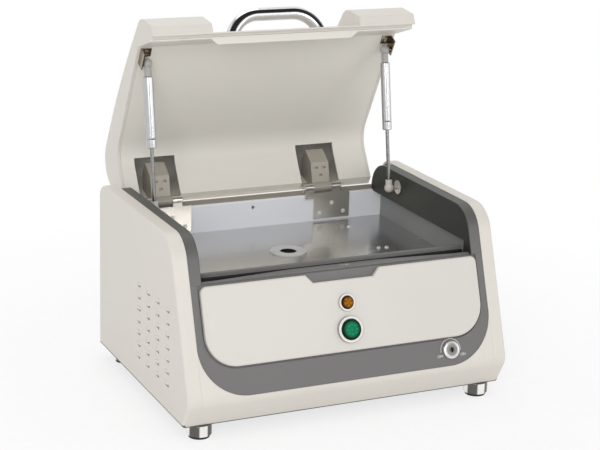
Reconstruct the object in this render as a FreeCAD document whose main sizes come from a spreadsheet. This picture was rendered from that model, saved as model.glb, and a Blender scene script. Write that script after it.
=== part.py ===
import FreeCAD, Part
import math
import os
import re
import Sketcher

Vector = FreeCAD.Vector
Placement = FreeCAD.Placement
Rotation = FreeCAD.Rotation
ACROSS = Vector(1, 0, 0)
ALONG = Vector(0, 1, 0)
UP = Vector(0, 0, 1)

# Benchtop fluorescence analyser, millimetres.
# X runs to the right, Y to the back and Z up; the origin is on the bench under the housing's middle.
# A value that starts with an equals sign follows the sizes named in it.
SIZES = {
    # housing
    "width": 550, "depth": 412, "floor_gap": 22, "side_height": 302.6,
    "front_break": 66, "undercut": 24, "lean": 19.6,
    "side_wall": 4, "side_return": 23.5, "crease_round": 5,
    "break_round": 24, "knee_round": 50, "rear_round": 22,
    "sheet": 3, "fit": 0.3, "rear_rise": 8,
    "vent_pitch_y": 42.4, "vent_pitch_z": 19.8, "vent_first_y": -119, "vent_first_z": 67.5,
    "vent_length": 10, "vent_height": 4,
    "hood_length": 16, "hood_height": 8, "hood_proud": 2, "hood_back": 3, "hood_lift": 2,
    "base_slot_length": 44, "base_slot_width": 6, "base_slot_pitch": 20, "base_slot_y": -120,
    # grey bezel and side rails
    "bezel_recess": 1, "bezel_thick": 6, "bezel_bottom": 4, "bezel_corner": 80, "throat_drop": 75.2,
    "rail_width": 19.5, "rail_wall": 4, "rail_drop": 55.6, "rail_leg": 28, "rail_round": 45,
    "rail_edge": 1.5,
    # white front panel
    "panel_inset": 14.5, "panel_half": "=width / 2 - side_return - panel_inset",
    "panel_bottom": 49.5, "panel_corner": 50, "panel_top_corner": 10,
    "panel_margin": 2.5, "panel_proud": 4, "panel_seat": 3, "panel_gap": 3, "panel_edge": 2.5,
    "panel_rib": 12, "panel_core": 36, "panel_skin": 5,
    "notch_half": 64, "notch_floor_half": 52, "notch_depth": 13,
    # lamp, start button and key switch on the front, measured up the leaning face
    "lamp_radius": 11, "lamp_flange": 3, "lamp_depth": 16, "button_radius": 16.5, "button_flange": 4.5,
    "button_depth": 30, "button_wall": 3, "button_travel": 3, "hole_room": 0.5,
    "control_gap": 42, "control_share": 0.4,
    "control_room": "=(side_height - front_break) / cos(lean) - throat_drop - panel_margin - notch_depth"
                    " - panel_bottom - control_gap - lamp_radius - button_radius",
    "button_up": "=panel_bottom + button_radius + control_share * control_room",
    "lamp_up": "=button_up + control_gap",
    "key_inset": 76.5, "key_across": "=width / 2 - side_return - key_inset", "key_up": 29.5,
    "key_radius": 14.5, "plug_radius": 5.5, "key_rise": 5, "key_depth": 24,
    # front sill, measured back from the top edge of the leaning front
    "sill_front": 7, "channel_front": 15, "lip_front": 32, "lip_rear": 38,
    "channel_depth": 8, "lip_rise": 6, "gasket": 3, "gasket_round": 1.4,
    "bridge_foot": 205, "bridge_half": 74,
    "sensor_left": 6, "sensor_length": 20, "sensor_depth": 9, "sensor_height": 4.5, "sensor_gap": 2.3,
    # sample chamber
    "deck_drop": 100.6, "rear_wall_inset": 7.5, "aperture_y": 50, "ring_radius": 30,
    "aperture_radius": 13, "ring_height": 2.5, "ring_land": 4, "cable_hole": 3, "cable_drop": 12.5,
    # feet
    "foot_inset_x": 33, "foot_inset_y": 38, "foot_x": "=width / 2 - foot_inset_x",
    "foot_y": "=depth / 2 - foot_inset_y",
    "foot_radius": 19.5, "pad_height": 4, "pad_margin": 3, "foot_hole": 3.5, "foot_round": 1.5,
    # hinges
    "hinge_drop": 40.1, "hinge_inset": 4, "hinge_x": 115, "leaf_width": 68, "leaf_height": 46,
    "leaf_thick": 4, "leaf_drop": 9.5, "leaf_neck": 9, "knuckle_radius": 8, "pin_radius": 3, "running": 0.05,
    "knuckle_end": 17, "block_width": 34, "hinge_room": 1, "wall_room": 4.5,
    "screw_radius": 4, "screw_height": 2.2, "screw_hole": 2.3,
    "block_foot": 4, "block_reach": 41, "block_lift": 24.2, "block_slot": 6.5, "block_slot_height": 3.6,
    "block_slot_depth": 3, "block_slot_low": 15, "block_slot_high": 28,
    # lid, drawn shut and then turned open about the hinge; its front is measured from the sill's
    "lid_open": 72, "lid_gap": 1, "cheek": 5, "skin": 4, "liner": 3,
    "nose_bottom_back": 20.5, "nose_bottom_drop": 69, "nose_edge_back": 7.4, "nose_edge_drop": 55.8,
    "nose_top_back": 18.1, "nose_top_drop": 5.1, "nose_round": 28, "nose_edge_round": 5, "nose_tip_round": 2,
    "crown_rise": 56, "crown_round": 1300, "crown_forward": 3,
    "tail_rise": 86.7, "tail_back": 5, "tail_round": 45, "tail_hem": 10,
    "rim_front_back": 68.2, "rim_front_drop": 11.4, "rim_peak": 57.2, "rim_peak_rise": 26.9,
    "rim_round": 50, "rim_end": 6.5, "rim_end_rise": 7.4,
    "lip_face_back": 23.9, "lip_face_drop": 58.5, "lip_edge_back": 32.4, "lip_edge_drop": 61.3,
    "lip_wall": 5.7, "tab_depth": 9.5, "tab_slant": 12, "tab_lap": 2.5,
    "cutaway_half": 130, "wall_foot_back": 26.1, "wall_foot_drop": 55, "wall_tilt": 53.6, "wall_rise": 88.5,
    # handle
    "handle_foot": 78, "handle_half": 62, "handle_rise": 32, "handle_tube": 10.6, "handle_bend": 50,
    "handle_up": 36,
    # gas struts
    "strut_inset": 18, "strut_x": "=width / 2 - side_return - rail_width - strut_inset",
    "strut_top_back": 94.976, "strut_top_drop": 17.5, "strut_foot": 96,
    "strut_foot_drop": 24.6, "tube_radius": 8, "tube_wall": 1.5, "tube_length": 115, "gland": 6,
    "rod_radius": 3, "piston": 6, "socket_top": 21, "socket_foot": 14, "socket_neck": 5.8,
    "socket_wall": 3, "ball_radius": 5,
    "stud_neck": 3, "stud_flange": 12, "stud_sheet": 1.7,
    "bracket": 2, "bracket_up": 23, "bracket_foot": 18, "bracket_ear": 7,
    # rear services
    "fan_x": -150, "fan_z": 110, "fan_half": 46, "fan_depth": 25, "fan_rim": 3, "fan_corner": 5,
    "fan_axle": 3, "fan_spider": 8, "fan_hub": 15, "fan_hub_length": 12, "blade_thick": 2, "blade_width": 15,
    "blade_root": 11, "grille_hole": 4, "inlet_x": 150, "inlet_z": 85,
    "inlet_half": 18, "inlet_half_height": 34, "inlet_flange": 2.5, "inlet_margin": 4, "inlet_depth": 26,
    "rocker_up": 14.5, "rocker_pivot": 1.5, "rocker_width": 17, "rocker_set": 3,
    # works under the deck
    "works_gap": 16.5, "works_back": 70, "wheel_x": 42, "wheel_radius": 52, "wheel_thick": 4, "wheel_port": 7,
    "wheel_drop": 88, "motor_radius": 16, "motor_length": 32, "motor_drop": 129, "shaft_radius": 2.5,
    "optics_half": 45, "optics_height": 79, "beam_radius": 9, "detector_drop": 34, "detector_radius": 14,
    "tube_body": 20, "tube_snout": 14, "tube_drop": 91, "tube_shoulder": 18, "stand_height": 15,
    "stand_half": 40, "stand_left": 60, "stand_length": 140, "detector_length": 70, "detector_reach": 24,
    "hv_width": 115, "hv_length": 160, "hv_height": 90,
    "supply_width": 110, "supply_length": 190, "supply_height": 42,
    "fin_height": 10, "fin_thick": 3, "fin_margin": 8,
    "board_lift": 14, "board_thick": 1.6, "board_width": 130, "board_length": 95, "board_y": 70,
    "board_post": 3, "board_edge": 5,
}

doc = FreeCAD.newDocument("analyser")
sheet = doc.addObject("Spreadsheet::Sheet", "Sizes")
for row, (name, value) in enumerate(SIZES.items(), start=1):
    sheet.set(f"A{row}", name)
    sheet.set(f"B{row}", str(value))
    sheet.setAlias(f"B{row}", name)
doc.recompute()

finished = []


def formula(text):
    """Point every size name in the text at the sheet."""
    return re.sub(r"[a-z_]+", lambda m: "Sizes." + m[0] if m[0] in SIZES else m[0], str(text))


def number(text):
    return float(sheet.evalExpression(formula(text)))


def bind(item, path, text):
    item.setExpression(path, formula(text))


def new_body(label):
    return doc.addObject("PartDesign::Body", label)


def new_sketch(body, role, offset="0", across="0", up="0"):
    """Start a sketch on one of the body's own planes, moved along and across that plane."""
    sketch = body.newObject("Sketcher::SketchObject", body.Name + "_sketch")
    base_plane = next(item for item in body.Origin.OriginFeatures if item.Role == role)
    sketch.AttachmentSupport = [(base_plane, "")]
    sketch.MapMode = "FlatFace"
    bind(sketch, "AttachmentOffset.Base.x", across)
    bind(sketch, "AttachmentOffset.Base.y", up)
    bind(sketch, "AttachmentOffset.Base.z", offset)
    return sketch


def lean_sketch(sketch, y, z, turn):
    """Move a level sketch to a spot and lean it about the line across."""
    sketch.AttachmentOffset = Placement(Vector(), Rotation(ACROSS, number(turn)))
    bind(sketch, "AttachmentOffset.Base.y", y)
    bind(sketch, "AttachmentOffset.Base.z", z)
    bind(sketch, "AttachmentOffset.Rotation.Angle", turn)


def tie(sketch, kind, geometry, spot, text):
    """Hold one point at a distance from the sketch's origin that follows the sheet."""
    rule = sketch.addConstraint(Sketcher.Constraint(kind, -1, 1, geometry, spot, number(text)))
    bind(sketch, f"Constraints[{rule}]", text)


def outline(sketch, corners, closed=True):
    """Draw lines through (across, up, radius) corners; a corner without a radius stays sharp."""
    spots = [Vector(number(c[0]), number(c[1]), 0) for c in corners]
    count = len(spots)
    entry, leave, arcs = list(spots), list(spots), {}
    for i, corner in enumerate(corners):
        if len(corner) < 3:
            continue
        before = (spots[i - 1] - spots[i]).normalize()
        after = (spots[(i + 1) % count] - spots[i]).normalize()
        radius = number(corner[2])
        half_angle = before.getAngle(after) / 2
        reach = radius / math.tan(half_angle)
        entry[i] = spots[i] + before * reach
        leave[i] = spots[i] + after * reach
        middle = (before + after).normalize()
        centre = spots[i] + middle * (reach ** 2 + radius ** 2) ** 0.5
        arcs[i] = (centre, radius, before.cross(after).z < 0)
    sides = count if closed else count - 1
    line = [sketch.addGeometry(Part.LineSegment(leave[i], entry[(i + 1) % count])) for i in range(sides)]
    for i, corner in enumerate(corners):
        if not closed and i in (0, count - 1):
            end = (line[0], 1) if i == 0 else (line[-1], 2)
            tie(sketch, "DistanceX", end[0], end[1], corner[0])
            tie(sketch, "DistanceY", end[0], end[1], corner[1])
        elif i in arcs:
            round_corner(sketch, line[i - 1], line[i], entry[i], leave[i], arcs[i], spots[i], corner)
        else:
            sketch.addConstraint(Sketcher.Constraint("Coincident", line[i - 1], 2, line[i], 1))
            tie(sketch, "DistanceX", line[i], 1, corner[0])
            tie(sketch, "DistanceY", line[i], 1, corner[1])


def round_corner(sketch, line_in, line_out, entry, leave, arc, spot, corner):
    """Join two lines by a tangent arc and hold their sharp corner by a construction point."""
    centre, radius, left_turn = arc
    start, end = (entry, leave) if left_turn else (leave, entry)
    circle_shape = Part.Circle(centre, UP, radius)
    bend = sketch.addGeometry(
        Part.ArcOfCircle(circle_shape, circle_shape.parameter(start), circle_shape.parameter(end)))
    first, last = (1, 2) if left_turn else (2, 1)
    sketch.addConstraint(Sketcher.Constraint("Tangent", line_in, 2, bend, first))
    sketch.addConstraint(Sketcher.Constraint("Tangent", bend, last, line_out, 1))
    rule = sketch.addConstraint(Sketcher.Constraint("Radius", bend, radius))
    bind(sketch, f"Constraints[{rule}]", corner[2])
    point = sketch.addGeometry(Part.Point(spot), True)
    sketch.addConstraint(Sketcher.Constraint("PointOnObject", point, 1, line_in))
    sketch.addConstraint(Sketcher.Constraint("PointOnObject", point, 1, line_out))
    tie(sketch, "DistanceX", point, 1, corner[0])
    tie(sketch, "DistanceY", point, 1, corner[1])


def circle(sketch, across, up, radius):
    middle = Vector(number(across), number(up), 0)
    ring = sketch.addGeometry(Part.Circle(middle, UP, number(radius)))
    rule = sketch.addConstraint(Sketcher.Constraint("Radius", ring, number(radius)))
    bind(sketch, f"Constraints[{rule}]", radius)
    tie(sketch, "DistanceX", ring, 3, across)
    tie(sketch, "DistanceY", ring, 3, up)


def rectangle(sketch, left, bottom, right, top):
    outline(sketch, [(left, bottom), (right, bottom), (right, top), (left, top)])


def pad(body, sketch, length, symmetric=False, reverse=False):
    feature = body.newObject("PartDesign::Pad", body.Name + "_pad")
    feature.Profile = sketch
    bind(feature, "Length", length)
    feature.SideType = "Symmetric" if symmetric else "One side"
    feature.Reversed = reverse
    doc.recompute()
    return feature


def pocket(body, sketch, length=None, symmetric=False, reverse=False):
    """Cut the sketch out; without a length the cut goes through everything both ways."""
    feature = body.newObject("PartDesign::Pocket", body.Name + "_pocket")
    feature.Profile = sketch
    if length is None:
        feature.Type = "ThroughAll"
        feature.SideType = "Symmetric"
    else:
        bind(feature, "Length", length)
        feature.SideType = "Symmetric" if symmetric else "One side"
        feature.Reversed = reverse
    doc.recompute()
    return feature


def dome(body, reach, spot):
    """Add an ellipsoid with the given reach across, along and up."""
    feature = body.newObject("PartDesign::AdditiveEllipsoid", body.Name + "_dome")
    for prop, text in zip(("Radius2", "Radius3", "Radius1"), reach):
        bind(feature, prop, text)
    for axis, text in zip("xyz", spot):
        bind(feature, f"Placement.Base.{axis}", text)
    doc.recompute()
    return feature


def round_edges(body, radius, choose):
    """Fillet the edges of the body so far that the test picks out."""
    base = body.Tip
    names = [f"Edge{i}" for i, edge in enumerate(base.Shape.Edges, start=1) if choose(edge)]
    feature = body.newObject("PartDesign::Fillet", body.Name + "_round")
    feature.Base = (base, names)
    bind(feature, "Radius", radius)
    doc.recompute()


def hollow(body, wall, choose):
    """Shell the body inwards, open at the faces that the test picks out."""
    base = body.Tip
    names = [f"Face{i}" for i, face in enumerate(base.Shape.Faces, start=1) if choose(face)]
    feature = body.newObject("PartDesign::Thickness", body.Name + "_hollow")
    feature.Base = (base, names)
    bind(feature, "Value", wall)
    feature.Reversed = True
    doc.recompute()


def pattern(body, feature, sketch, length, count, second_length=None, second_count=1):
    """Repeat a feature along the sketch's two directions."""
    rows = body.newObject("PartDesign::LinearPattern", body.Name + "_rows")
    rows.Originals = [feature]
    rows.Refine = False
    rows.Direction = (sketch, ["H_Axis"])
    bind(rows, "Length", length)
    rows.Occurrences = count
    if second_length is not None:
        rows.Direction2 = (sketch, ["V_Axis"])
        bind(rows, "Length2", second_length)
        rows.Occurrences2 = second_count
    body.Tip = rows
    doc.recompute()


def ring_pattern(body, feature, sketch, count):
    """Repeat a feature round the sketch's own origin."""
    ring = body.newObject("PartDesign::PolarPattern", body.Name + "_ring")
    ring.Originals = [feature]
    ring.Axis = (sketch, ["N_Axis"])
    ring.Angle = 360
    ring.Occurrences = count
    body.Tip = ring
    doc.recompute()


def turned(label, profile):
    """Turn a (radius, height) profile about the body's own upright axis."""
    body = new_body(label)
    sketch = new_sketch(body, "XZ_Plane")
    outline(sketch, profile)
    feature = body.newObject("PartDesign::Revolution", body.Name + "_turn")
    feature.Profile = sketch
    feature.ReferenceAxis = (sketch, ["V_Axis"])
    feature.Angle = 360
    doc.recompute()
    return body


def place(item, x="0", y="0", z="0", axis=None, turn="0"):
    if axis is not None:
        item.Placement = Placement(Vector(), Rotation(axis, number(turn)))
        bind(item, "Placement.Rotation.Angle", turn)
    bind(item, "Placement.Base.x", x)
    bind(item, "Placement.Base.y", y)
    bind(item, "Placement.Base.z", z)
    return item


def place_on_front(item, across="0", up="0", out="0"):
    """Stand an item that was drawn flat on the leaning front face."""
    y = f"-depth / 2 + ({up}) * sin(lean) - ({out}) * cos(lean)"
    z = f"front_break + ({up}) * cos(lean) + ({out}) * sin(lean)"
    return place(item, across, y, z, ACROSS, "90 - lean")


def opened(y, z):
    """Where a spot of the shut lid is once the lid stands open."""
    across = f"(({y}) - ({HINGE_Y}))"
    above = f"(({z}) - ({HINGE_Z}))"
    return (f"({HINGE_Y} + {across} * cos(lid_open) + {above} * sin(lid_open))",
            f"({HINGE_Z} - {across} * sin(lid_open) + {above} * cos(lid_open))")


def place_with_lid(item):
    y, z = opened("0", "0")
    return place(item, "0", y, z, ACROSS, "-lid_open")


def box(label, corner, size):
    item = doc.addObject("Part::Box", label)
    for prop, text in zip(("Length", "Width", "Height"), size):
        bind(item, prop, text)
    return place(item, *corner)


def cylinder(label, radius, height, spot, axis=None, turn="0"):
    item = doc.addObject("Part::Cylinder", label)
    bind(item, "Radius", radius)
    bind(item, "Height", height)
    return place(item, *spot, axis=axis, turn=turn)


def ball(label, radius, spot, turn="90"):
    """Sphere whose poles lie across, so that necks and mouths meet it squarely."""
    item = doc.addObject("Part::Sphere", label)
    bind(item, "Radius", radius)
    return place(item, *spot, axis=ALONG, turn=turn)


def join(label, pieces):
    item = doc.addObject("Part::MultiFuse", label)
    item.Shapes = pieces
    return item


def cut(label, base, tools):
    item = doc.addObject("Part::Cut", label)
    item.Base = base
    item.Tool = tools[0] if len(tools) == 1 else join(label + "_tools", tools)
    return item


def mirrored(label, item):
    """Twin of an item on the other side of the middle plane."""
    twin = doc.addObject("Part::Mirroring", label)
    twin.Source = item
    twin.Normal = ACROSS
    return twin


def group(label, pieces):
    item = doc.addObject("Part::Compound", label)
    item.Links = pieces
    return item


def keep(item):
    """Mark a finished piece for writing out under its label."""
    finished.append(item)
    return item


def on_plane(edge, x):
    return all(abs(v.X - x) < 0.01 for v in edge.Vertexes)


def faces_x(face, x):
    box_limits = face.BoundBox
    return abs(box_limits.XMin - x) < 0.01 and abs(box_limits.XMax - x) < 0.01


# Places that several pieces share
FRONT = "(-depth / 2)"
BACK = "(depth / 2)"
KNEE_Y = "(-depth / 2 + (side_height - front_break) * tan(lean))"
BOTTOM_FRONT = "(-depth / 2 + undercut)"
SHELL_IN = "(width / 2 - side_return)"
RAIL_IN = "(width / 2 - side_return - rail_width)"
RAIL_BOTTOM = "(side_height - rail_drop)"
BEZEL_TOP = "((side_height - front_break) / cos(lean) - throat_drop)"
PANEL_TOP = f"({BEZEL_TOP} - panel_margin)"
SILL_TOP = f"(front_break + {BEZEL_TOP} * cos(lean))"
SILL_Y = f"(-depth / 2 + {BEZEL_TOP} * sin(lean))"
DECK = "(side_height - deck_drop)"
REAR_WALL = "(depth / 2 - rear_wall_inset)"
HINGE_Y = "(depth / 2 - hinge_inset)"
HINGE_Z = "(side_height - hinge_drop)"
WALL_TOP = f"({HINGE_Z} - knuckle_radius - wall_room)"
CHAMBER = f"({SHELL_IN} - sheet - fit)"
LID_HALF = f"({RAIL_IN} - lid_gap)"
LID_IN = f"({LID_HALF} - cheek)"
FLOOR = "(floor_gap + sheet)"
LEAF_LOW = f"({HINGE_Z} - leaf_drop - leaf_height)"
HINGE_LEFTS = [("right", "hinge_x"), ("left", "(-hinge_x - leaf_width)")]
LEAF_SCREWS = [(11, 10), (34, 27), (57, 10)]
DECK_SCREWS = [("152", "18"), ("166", "16"), ("160", "145"), ("-160", "145"), ("-160", "-60"), ("160", "-60")]
FEET = [(x, y) for x in ("foot_x", "-foot_x") for y in ("foot_y", "-foot_y")]


# Outer housing
def side_shell():
    """Moulded left side tray with a rounded crease, rolled edges and a field of hooded vents."""
    body = new_body("side_shell_left")
    sketch = new_sketch(body, "YZ_Plane", f"-{SHELL_IN}")
    outline(sketch, [
        (BOTTOM_FRONT, "floor_gap"),
        (FRONT, "front_break", "break_round"),
        (KNEE_Y, "side_height", "knee_round"),
        (BACK, "side_height", "rear_round"),
        (BACK, "floor_gap")])
    pad(body, sketch, "side_return", reverse=True)
    outer = -number("width / 2")
    round_edges(body, "crease_round", lambda edge: on_plane(edge, outer))
    hollow(body, "side_wall", lambda face: faces_x(face, -number(SHELL_IN)))
    vents = new_sketch(body, "YZ_Plane", "-(width / 2 + hood_proud)", "vent_first_y", "vent_first_z")
    rectangle(vents, "-vent_length / 2", "-vent_height / 2", "vent_length / 2", "vent_height / 2")
    hood = dome(body, ("hood_proud", "hood_length / 2", "hood_height / 2"),
                ("-width / 2", "vent_first_y + hood_back", "vent_first_z + hood_lift"))
    pattern(body, hood, vents, "3 * vent_pitch_y", 4, "6 * vent_pitch_z", 7)
    slot = pocket(body, vents, "hood_proud + 2 * side_wall", reverse=True)
    pattern(body, slot, vents, "3 * vent_pitch_y", 4, "6 * vent_pitch_z", 7)
    return keep(body)


def base_plate():
    body = new_body("base_plate")
    sketch = new_sketch(body, "XY_Plane", "floor_gap")
    rectangle(sketch, f"-{SHELL_IN}", f"{BOTTOM_FRONT} + 1.1 * side_wall", SHELL_IN, f"{BACK} - sheet")
    for x, y in FEET:
        circle(sketch, x, y, "foot_hole - hole_room")
    pad(body, sketch, "sheet")
    slots = new_sketch(body, "XY_Plane", "floor_gap", "-4.5 * base_slot_pitch", "base_slot_y")
    half, reach, end = "base_slot_width / 2", "base_slot_length / 2", "base_slot_width / 2 - 0.1"
    outline(slots, [(f"-{half}", f"-{reach}", end), (half, f"-{reach}", end), (half, reach, end),
                    (f"-{half}", reach, end)])
    opening = pocket(body, slots)
    pattern(body, opening, slots, "9 * base_slot_pitch", 10)
    return keep(body)


def front_apron():
    """Bent lower front whose top edge follows the rounded corners of the bezel."""
    body = new_body("front_apron")
    sketch = new_sketch(body, "YZ_Plane")
    top = "(bezel_bottom + bezel_corner)"
    top_y = f"({FRONT} + {top} * sin(lean))"
    top_z = f"(front_break + {top} * cos(lean))"
    outline(sketch, [
        (BOTTOM_FRONT, "floor_gap"),
        (FRONT, "front_break", "break_round"),
        (top_y, top_z),
        (f"{top_y} + 1.1 * side_wall", top_z),
        (f"{FRONT} + 1.1 * side_wall", "front_break", "break_round - side_wall"),
        (f"{BOTTOM_FRONT} + 1.1 * side_wall", "floor_gap")])
    pad(body, sketch, f"2 * {SHELL_IN}", symmetric=True)
    opening = new_sketch(body, "XY_Plane")
    lean_sketch(opening, FRONT, "front_break", "90 - lean")
    outline(opening, [
        (f"-{SHELL_IN}", "bezel_bottom", "bezel_corner"),
        (SHELL_IN, "bezel_bottom", "bezel_corner"),
        (SHELL_IN, "bezel_bottom + 2 * bezel_corner"),
        (f"-{SHELL_IN}", "bezel_bottom + 2 * bezel_corner")])
    pocket(body, opening)
    return keep(body)


def rear_panel():
    """Rear cover with a fan grille; its top strip stands between the rails, notched round the hinges."""
    body = new_body("rear_panel")
    sketch = new_sketch(body, "XZ_Plane", f"-{BACK}")
    strip = f"({RAIL_IN} - fit)"
    shoulder = f"({RAIL_BOTTOM} - fit)"
    top = f"{WALL_TOP} + rear_rise"
    outline(sketch, [
        (f"-{SHELL_IN}", "floor_gap"), (SHELL_IN, "floor_gap"), (SHELL_IN, shoulder), (strip, shoulder),
        (strip, top), (f"-{strip}", top), (f"-{strip}", shoulder), (f"-{SHELL_IN}", shoulder)])
    half = "(inlet_half - inlet_margin)"
    half_height = "(inlet_half_height - inlet_margin)"
    rectangle(sketch, f"inlet_x - {half}", f"inlet_z - {half_height}",
              f"inlet_x + {half}", f"inlet_z + {half_height}")
    circle(sketch, "fan_x", "fan_z", "grille_hole + 1")
    pad(body, sketch, "sheet")
    notches = new_sketch(body, "XZ_Plane", f"-{BACK}")
    for _, left in HINGE_LEFTS:
        rectangle(notches, f"{left} - knuckle_end - hinge_room", f"{HINGE_Z} - knuckle_radius - hinge_room",
                  f"{left} + block_width + knuckle_end + fit + hinge_room", f"{HINGE_Z} + rear_rise")
    pocket(body, notches)
    for ring, count in ((1, 8), (2, 14), (3, 20)):
        holes = new_sketch(body, "XZ_Plane", f"-{BACK}", "fan_x", "fan_z")
        circle(holes, "0", f"{ring} * (fan_half - grille_hole - fan_corner) / 3", "grille_hole")
        ring_pattern(body, pocket(body, holes), holes, count)
    return keep(body)


keep(mirrored("side_shell_right", side_shell()))
base_plate()
front_apron()
rear_panel()


# Grey bezel, side rails and front sill
def bezel_front():
    body = new_body("bezel_front")
    sketch = new_sketch(body, "XY_Plane", "-bezel_recess")
    edge = f"({SHELL_IN} - fit)"
    outline(sketch, [
        (f"-{edge}", "bezel_bottom + fit", "bezel_corner - fit"),
        (edge, "bezel_bottom + fit", "bezel_corner - fit"),
        (edge, BEZEL_TOP),
        (f"-{edge}", BEZEL_TOP)])
    circle(sketch, "0", "lamp_up", "lamp_radius + hole_room")
    circle(sketch, "0", "button_up", "button_radius + hole_room")
    circle(sketch, "key_across", "key_up", "key_radius - 3")
    pad(body, sketch, "bezel_thick", reverse=True)
    seat = new_sketch(body, "XY_Plane", "-bezel_recess")
    panel_outline(seat, "panel_gap", "panel_margin + 1")
    pocket(body, seat, "panel_seat")
    return keep(place_on_front(body))


def panel_outline(sketch, grow, top_grow):
    """White panel outline, grown by a gap, up to its notched or plain top."""
    outline(sketch, [
        (f"-(panel_half + {grow})", f"panel_bottom - {grow}", f"panel_corner + {grow}"),
        (f"panel_half + {grow}", f"panel_bottom - {grow}", f"panel_corner + {grow}"),
        (f"panel_half + {grow}", f"{PANEL_TOP} + {top_grow}"),
        (f"-(panel_half + {grow})", f"{PANEL_TOP} + {top_grow}")])


def front_panel():
    """White cover panel with a finger notch, standing proud of the bezel."""
    body = new_body("front_panel")
    sketch = new_sketch(body, "XY_Plane", "-bezel_recess - panel_seat")
    outline(sketch, [
        ("-panel_half", "panel_bottom", "panel_corner"),
        ("panel_half", "panel_bottom", "panel_corner"),
        ("panel_half", PANEL_TOP, "panel_top_corner"),
        ("notch_half", PANEL_TOP, "panel_edge"),
        ("notch_floor_half", f"{PANEL_TOP} - notch_depth", "panel_edge"),
        ("-notch_floor_half", f"{PANEL_TOP} - notch_depth", "panel_edge"),
        ("-notch_half", PANEL_TOP, "panel_edge"),
        ("-panel_half", PANEL_TOP, "panel_top_corner")])
    pad(body, sketch, "bezel_recess + panel_seat + panel_proud")
    face_z = number("panel_proud")
    round_edges(body, "panel_edge", lambda edge: all(abs(v.Z - face_z) < 0.01 for v in edge.Vertexes))
    holes = new_sketch(body, "XY_Plane")
    circle(holes, "0", "lamp_up", "lamp_radius + hole_room")
    circle(holes, "0", "button_up", "button_radius + hole_room")
    pocket(body, holes)
    back = new_sketch(body, "XY_Plane", "-bezel_recess - panel_seat")
    low, high = "panel_bottom + panel_rib", f"{PANEL_TOP} - notch_depth - panel_rib"
    rectangle(back, "panel_core", low, "panel_half - panel_corner", high)
    rectangle(back, "panel_corner - panel_half", low, "-panel_core", high)
    pocket(body, back, "bezel_recess + panel_seat + panel_proud - panel_skin", reverse=True)
    return keep(place_on_front(body))


def bezel_rail(label, side):
    """Side rail that runs back over the chamber wall, with a leg down the leaning front."""
    body = new_body(label)
    sketch = new_sketch(body, "YZ_Plane", f"{side} * {RAIL_IN}")
    leg_y = f"({FRONT} + {BEZEL_TOP} * sin(lean) + bezel_recess * cos(lean))"
    leg_z = f"(front_break + {BEZEL_TOP} * cos(lean) - bezel_recess * sin(lean))"
    inner_y = f"({leg_y} + rail_leg * cos(lean))"
    knee_y = f"({KNEE_Y} + bezel_recess / cos(lean) - bezel_recess * tan(lean))"
    outline(sketch, [
        (leg_y, leg_z),
        (inner_y, f"{leg_z} - rail_leg * sin(lean)"),
        (inner_y, RAIL_BOTTOM),
        (BACK, RAIL_BOTTOM),
        (BACK, "side_height - bezel_recess", "rail_round"),
        (knee_y, "side_height - bezel_recess", "knee_round")])
    pad(body, sketch, "rail_width", reverse=side < 0)
    hollow(body, "rail_wall", lambda face: faces_x(face, side * number(SHELL_IN)))
    inner = side * number(RAIL_IN)
    round_edges(body, "rail_edge", lambda edge: on_plane(edge, inner))
    return keep(body)


SENSOR_BACK = f"({SILL_Y} + lip_front - gasket - sensor_gap)"


def front_sill():
    """Sill behind the panel: a land, a seal channel bridged in the middle and a raised lip."""
    body = new_body("front_sill")
    sketch = new_sketch(body, "YZ_Plane")
    outline(sketch, [
        (f"{SILL_Y} + sill_front", f"{DECK} - sheet"),
        (f"{SILL_Y} + lip_rear", f"{DECK} - sheet"),
        (f"{SILL_Y} + lip_rear", f"{SILL_TOP} + lip_rise"),
        (f"{SILL_Y} + lip_front", f"{SILL_TOP} + lip_rise"),
        (f"{SILL_Y} + lip_front", f"{SILL_TOP} - channel_depth"),
        (f"{SILL_Y} + channel_front", f"{SILL_TOP} - channel_depth"),
        (f"{SILL_Y} + channel_front", SILL_TOP),
        (f"{SILL_Y} + sill_front", SILL_TOP)])
    pad(body, sketch, f"2 * {RAIL_IN}", symmetric=True)
    bridge = new_sketch(body, "XY_Plane", SILL_TOP)
    front = f"{SILL_Y} + channel_front"
    rear = f"{SILL_Y} + lip_front - gasket - gasket_round"
    outline(bridge, [("-bridge_foot", front), ("bridge_foot", front), ("bridge_half", rear),
                     ("-bridge_half", rear)])
    pad(body, bridge, "channel_depth - gasket - fit", reverse=True)
    seat = new_sketch(body, "XY_Plane", SILL_TOP)
    rectangle(seat, "sensor_left - fit", f"{SENSOR_BACK} - sensor_depth - fit",
              "sensor_left + sensor_length + fit", f"{SENSOR_BACK} + fit")
    pocket(body, seat, "channel_depth - gasket - fit")
    return keep(body)


def sill_gasket():
    """Rubber strip along the channel's floor and up against the lip."""
    body = new_body("sill_gasket")
    sketch = new_sketch(body, "YZ_Plane")
    floor = f"({SILL_TOP} - channel_depth)"
    outline(sketch, [
        (f"{SILL_Y} + channel_front", floor),
        (f"{SILL_Y} + lip_front", floor),
        (f"{SILL_Y} + lip_front", SILL_TOP),
        (f"{SILL_Y} + lip_front - gasket", SILL_TOP, "gasket_round"),
        (f"{SILL_Y} + lip_front - gasket", f"{floor} + gasket", "gasket_round"),
        (f"{SILL_Y} + channel_front", f"{floor} + gasket")])
    pad(body, sketch, f"2 * {RAIL_IN}", symmetric=True)
    return keep(body)


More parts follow.
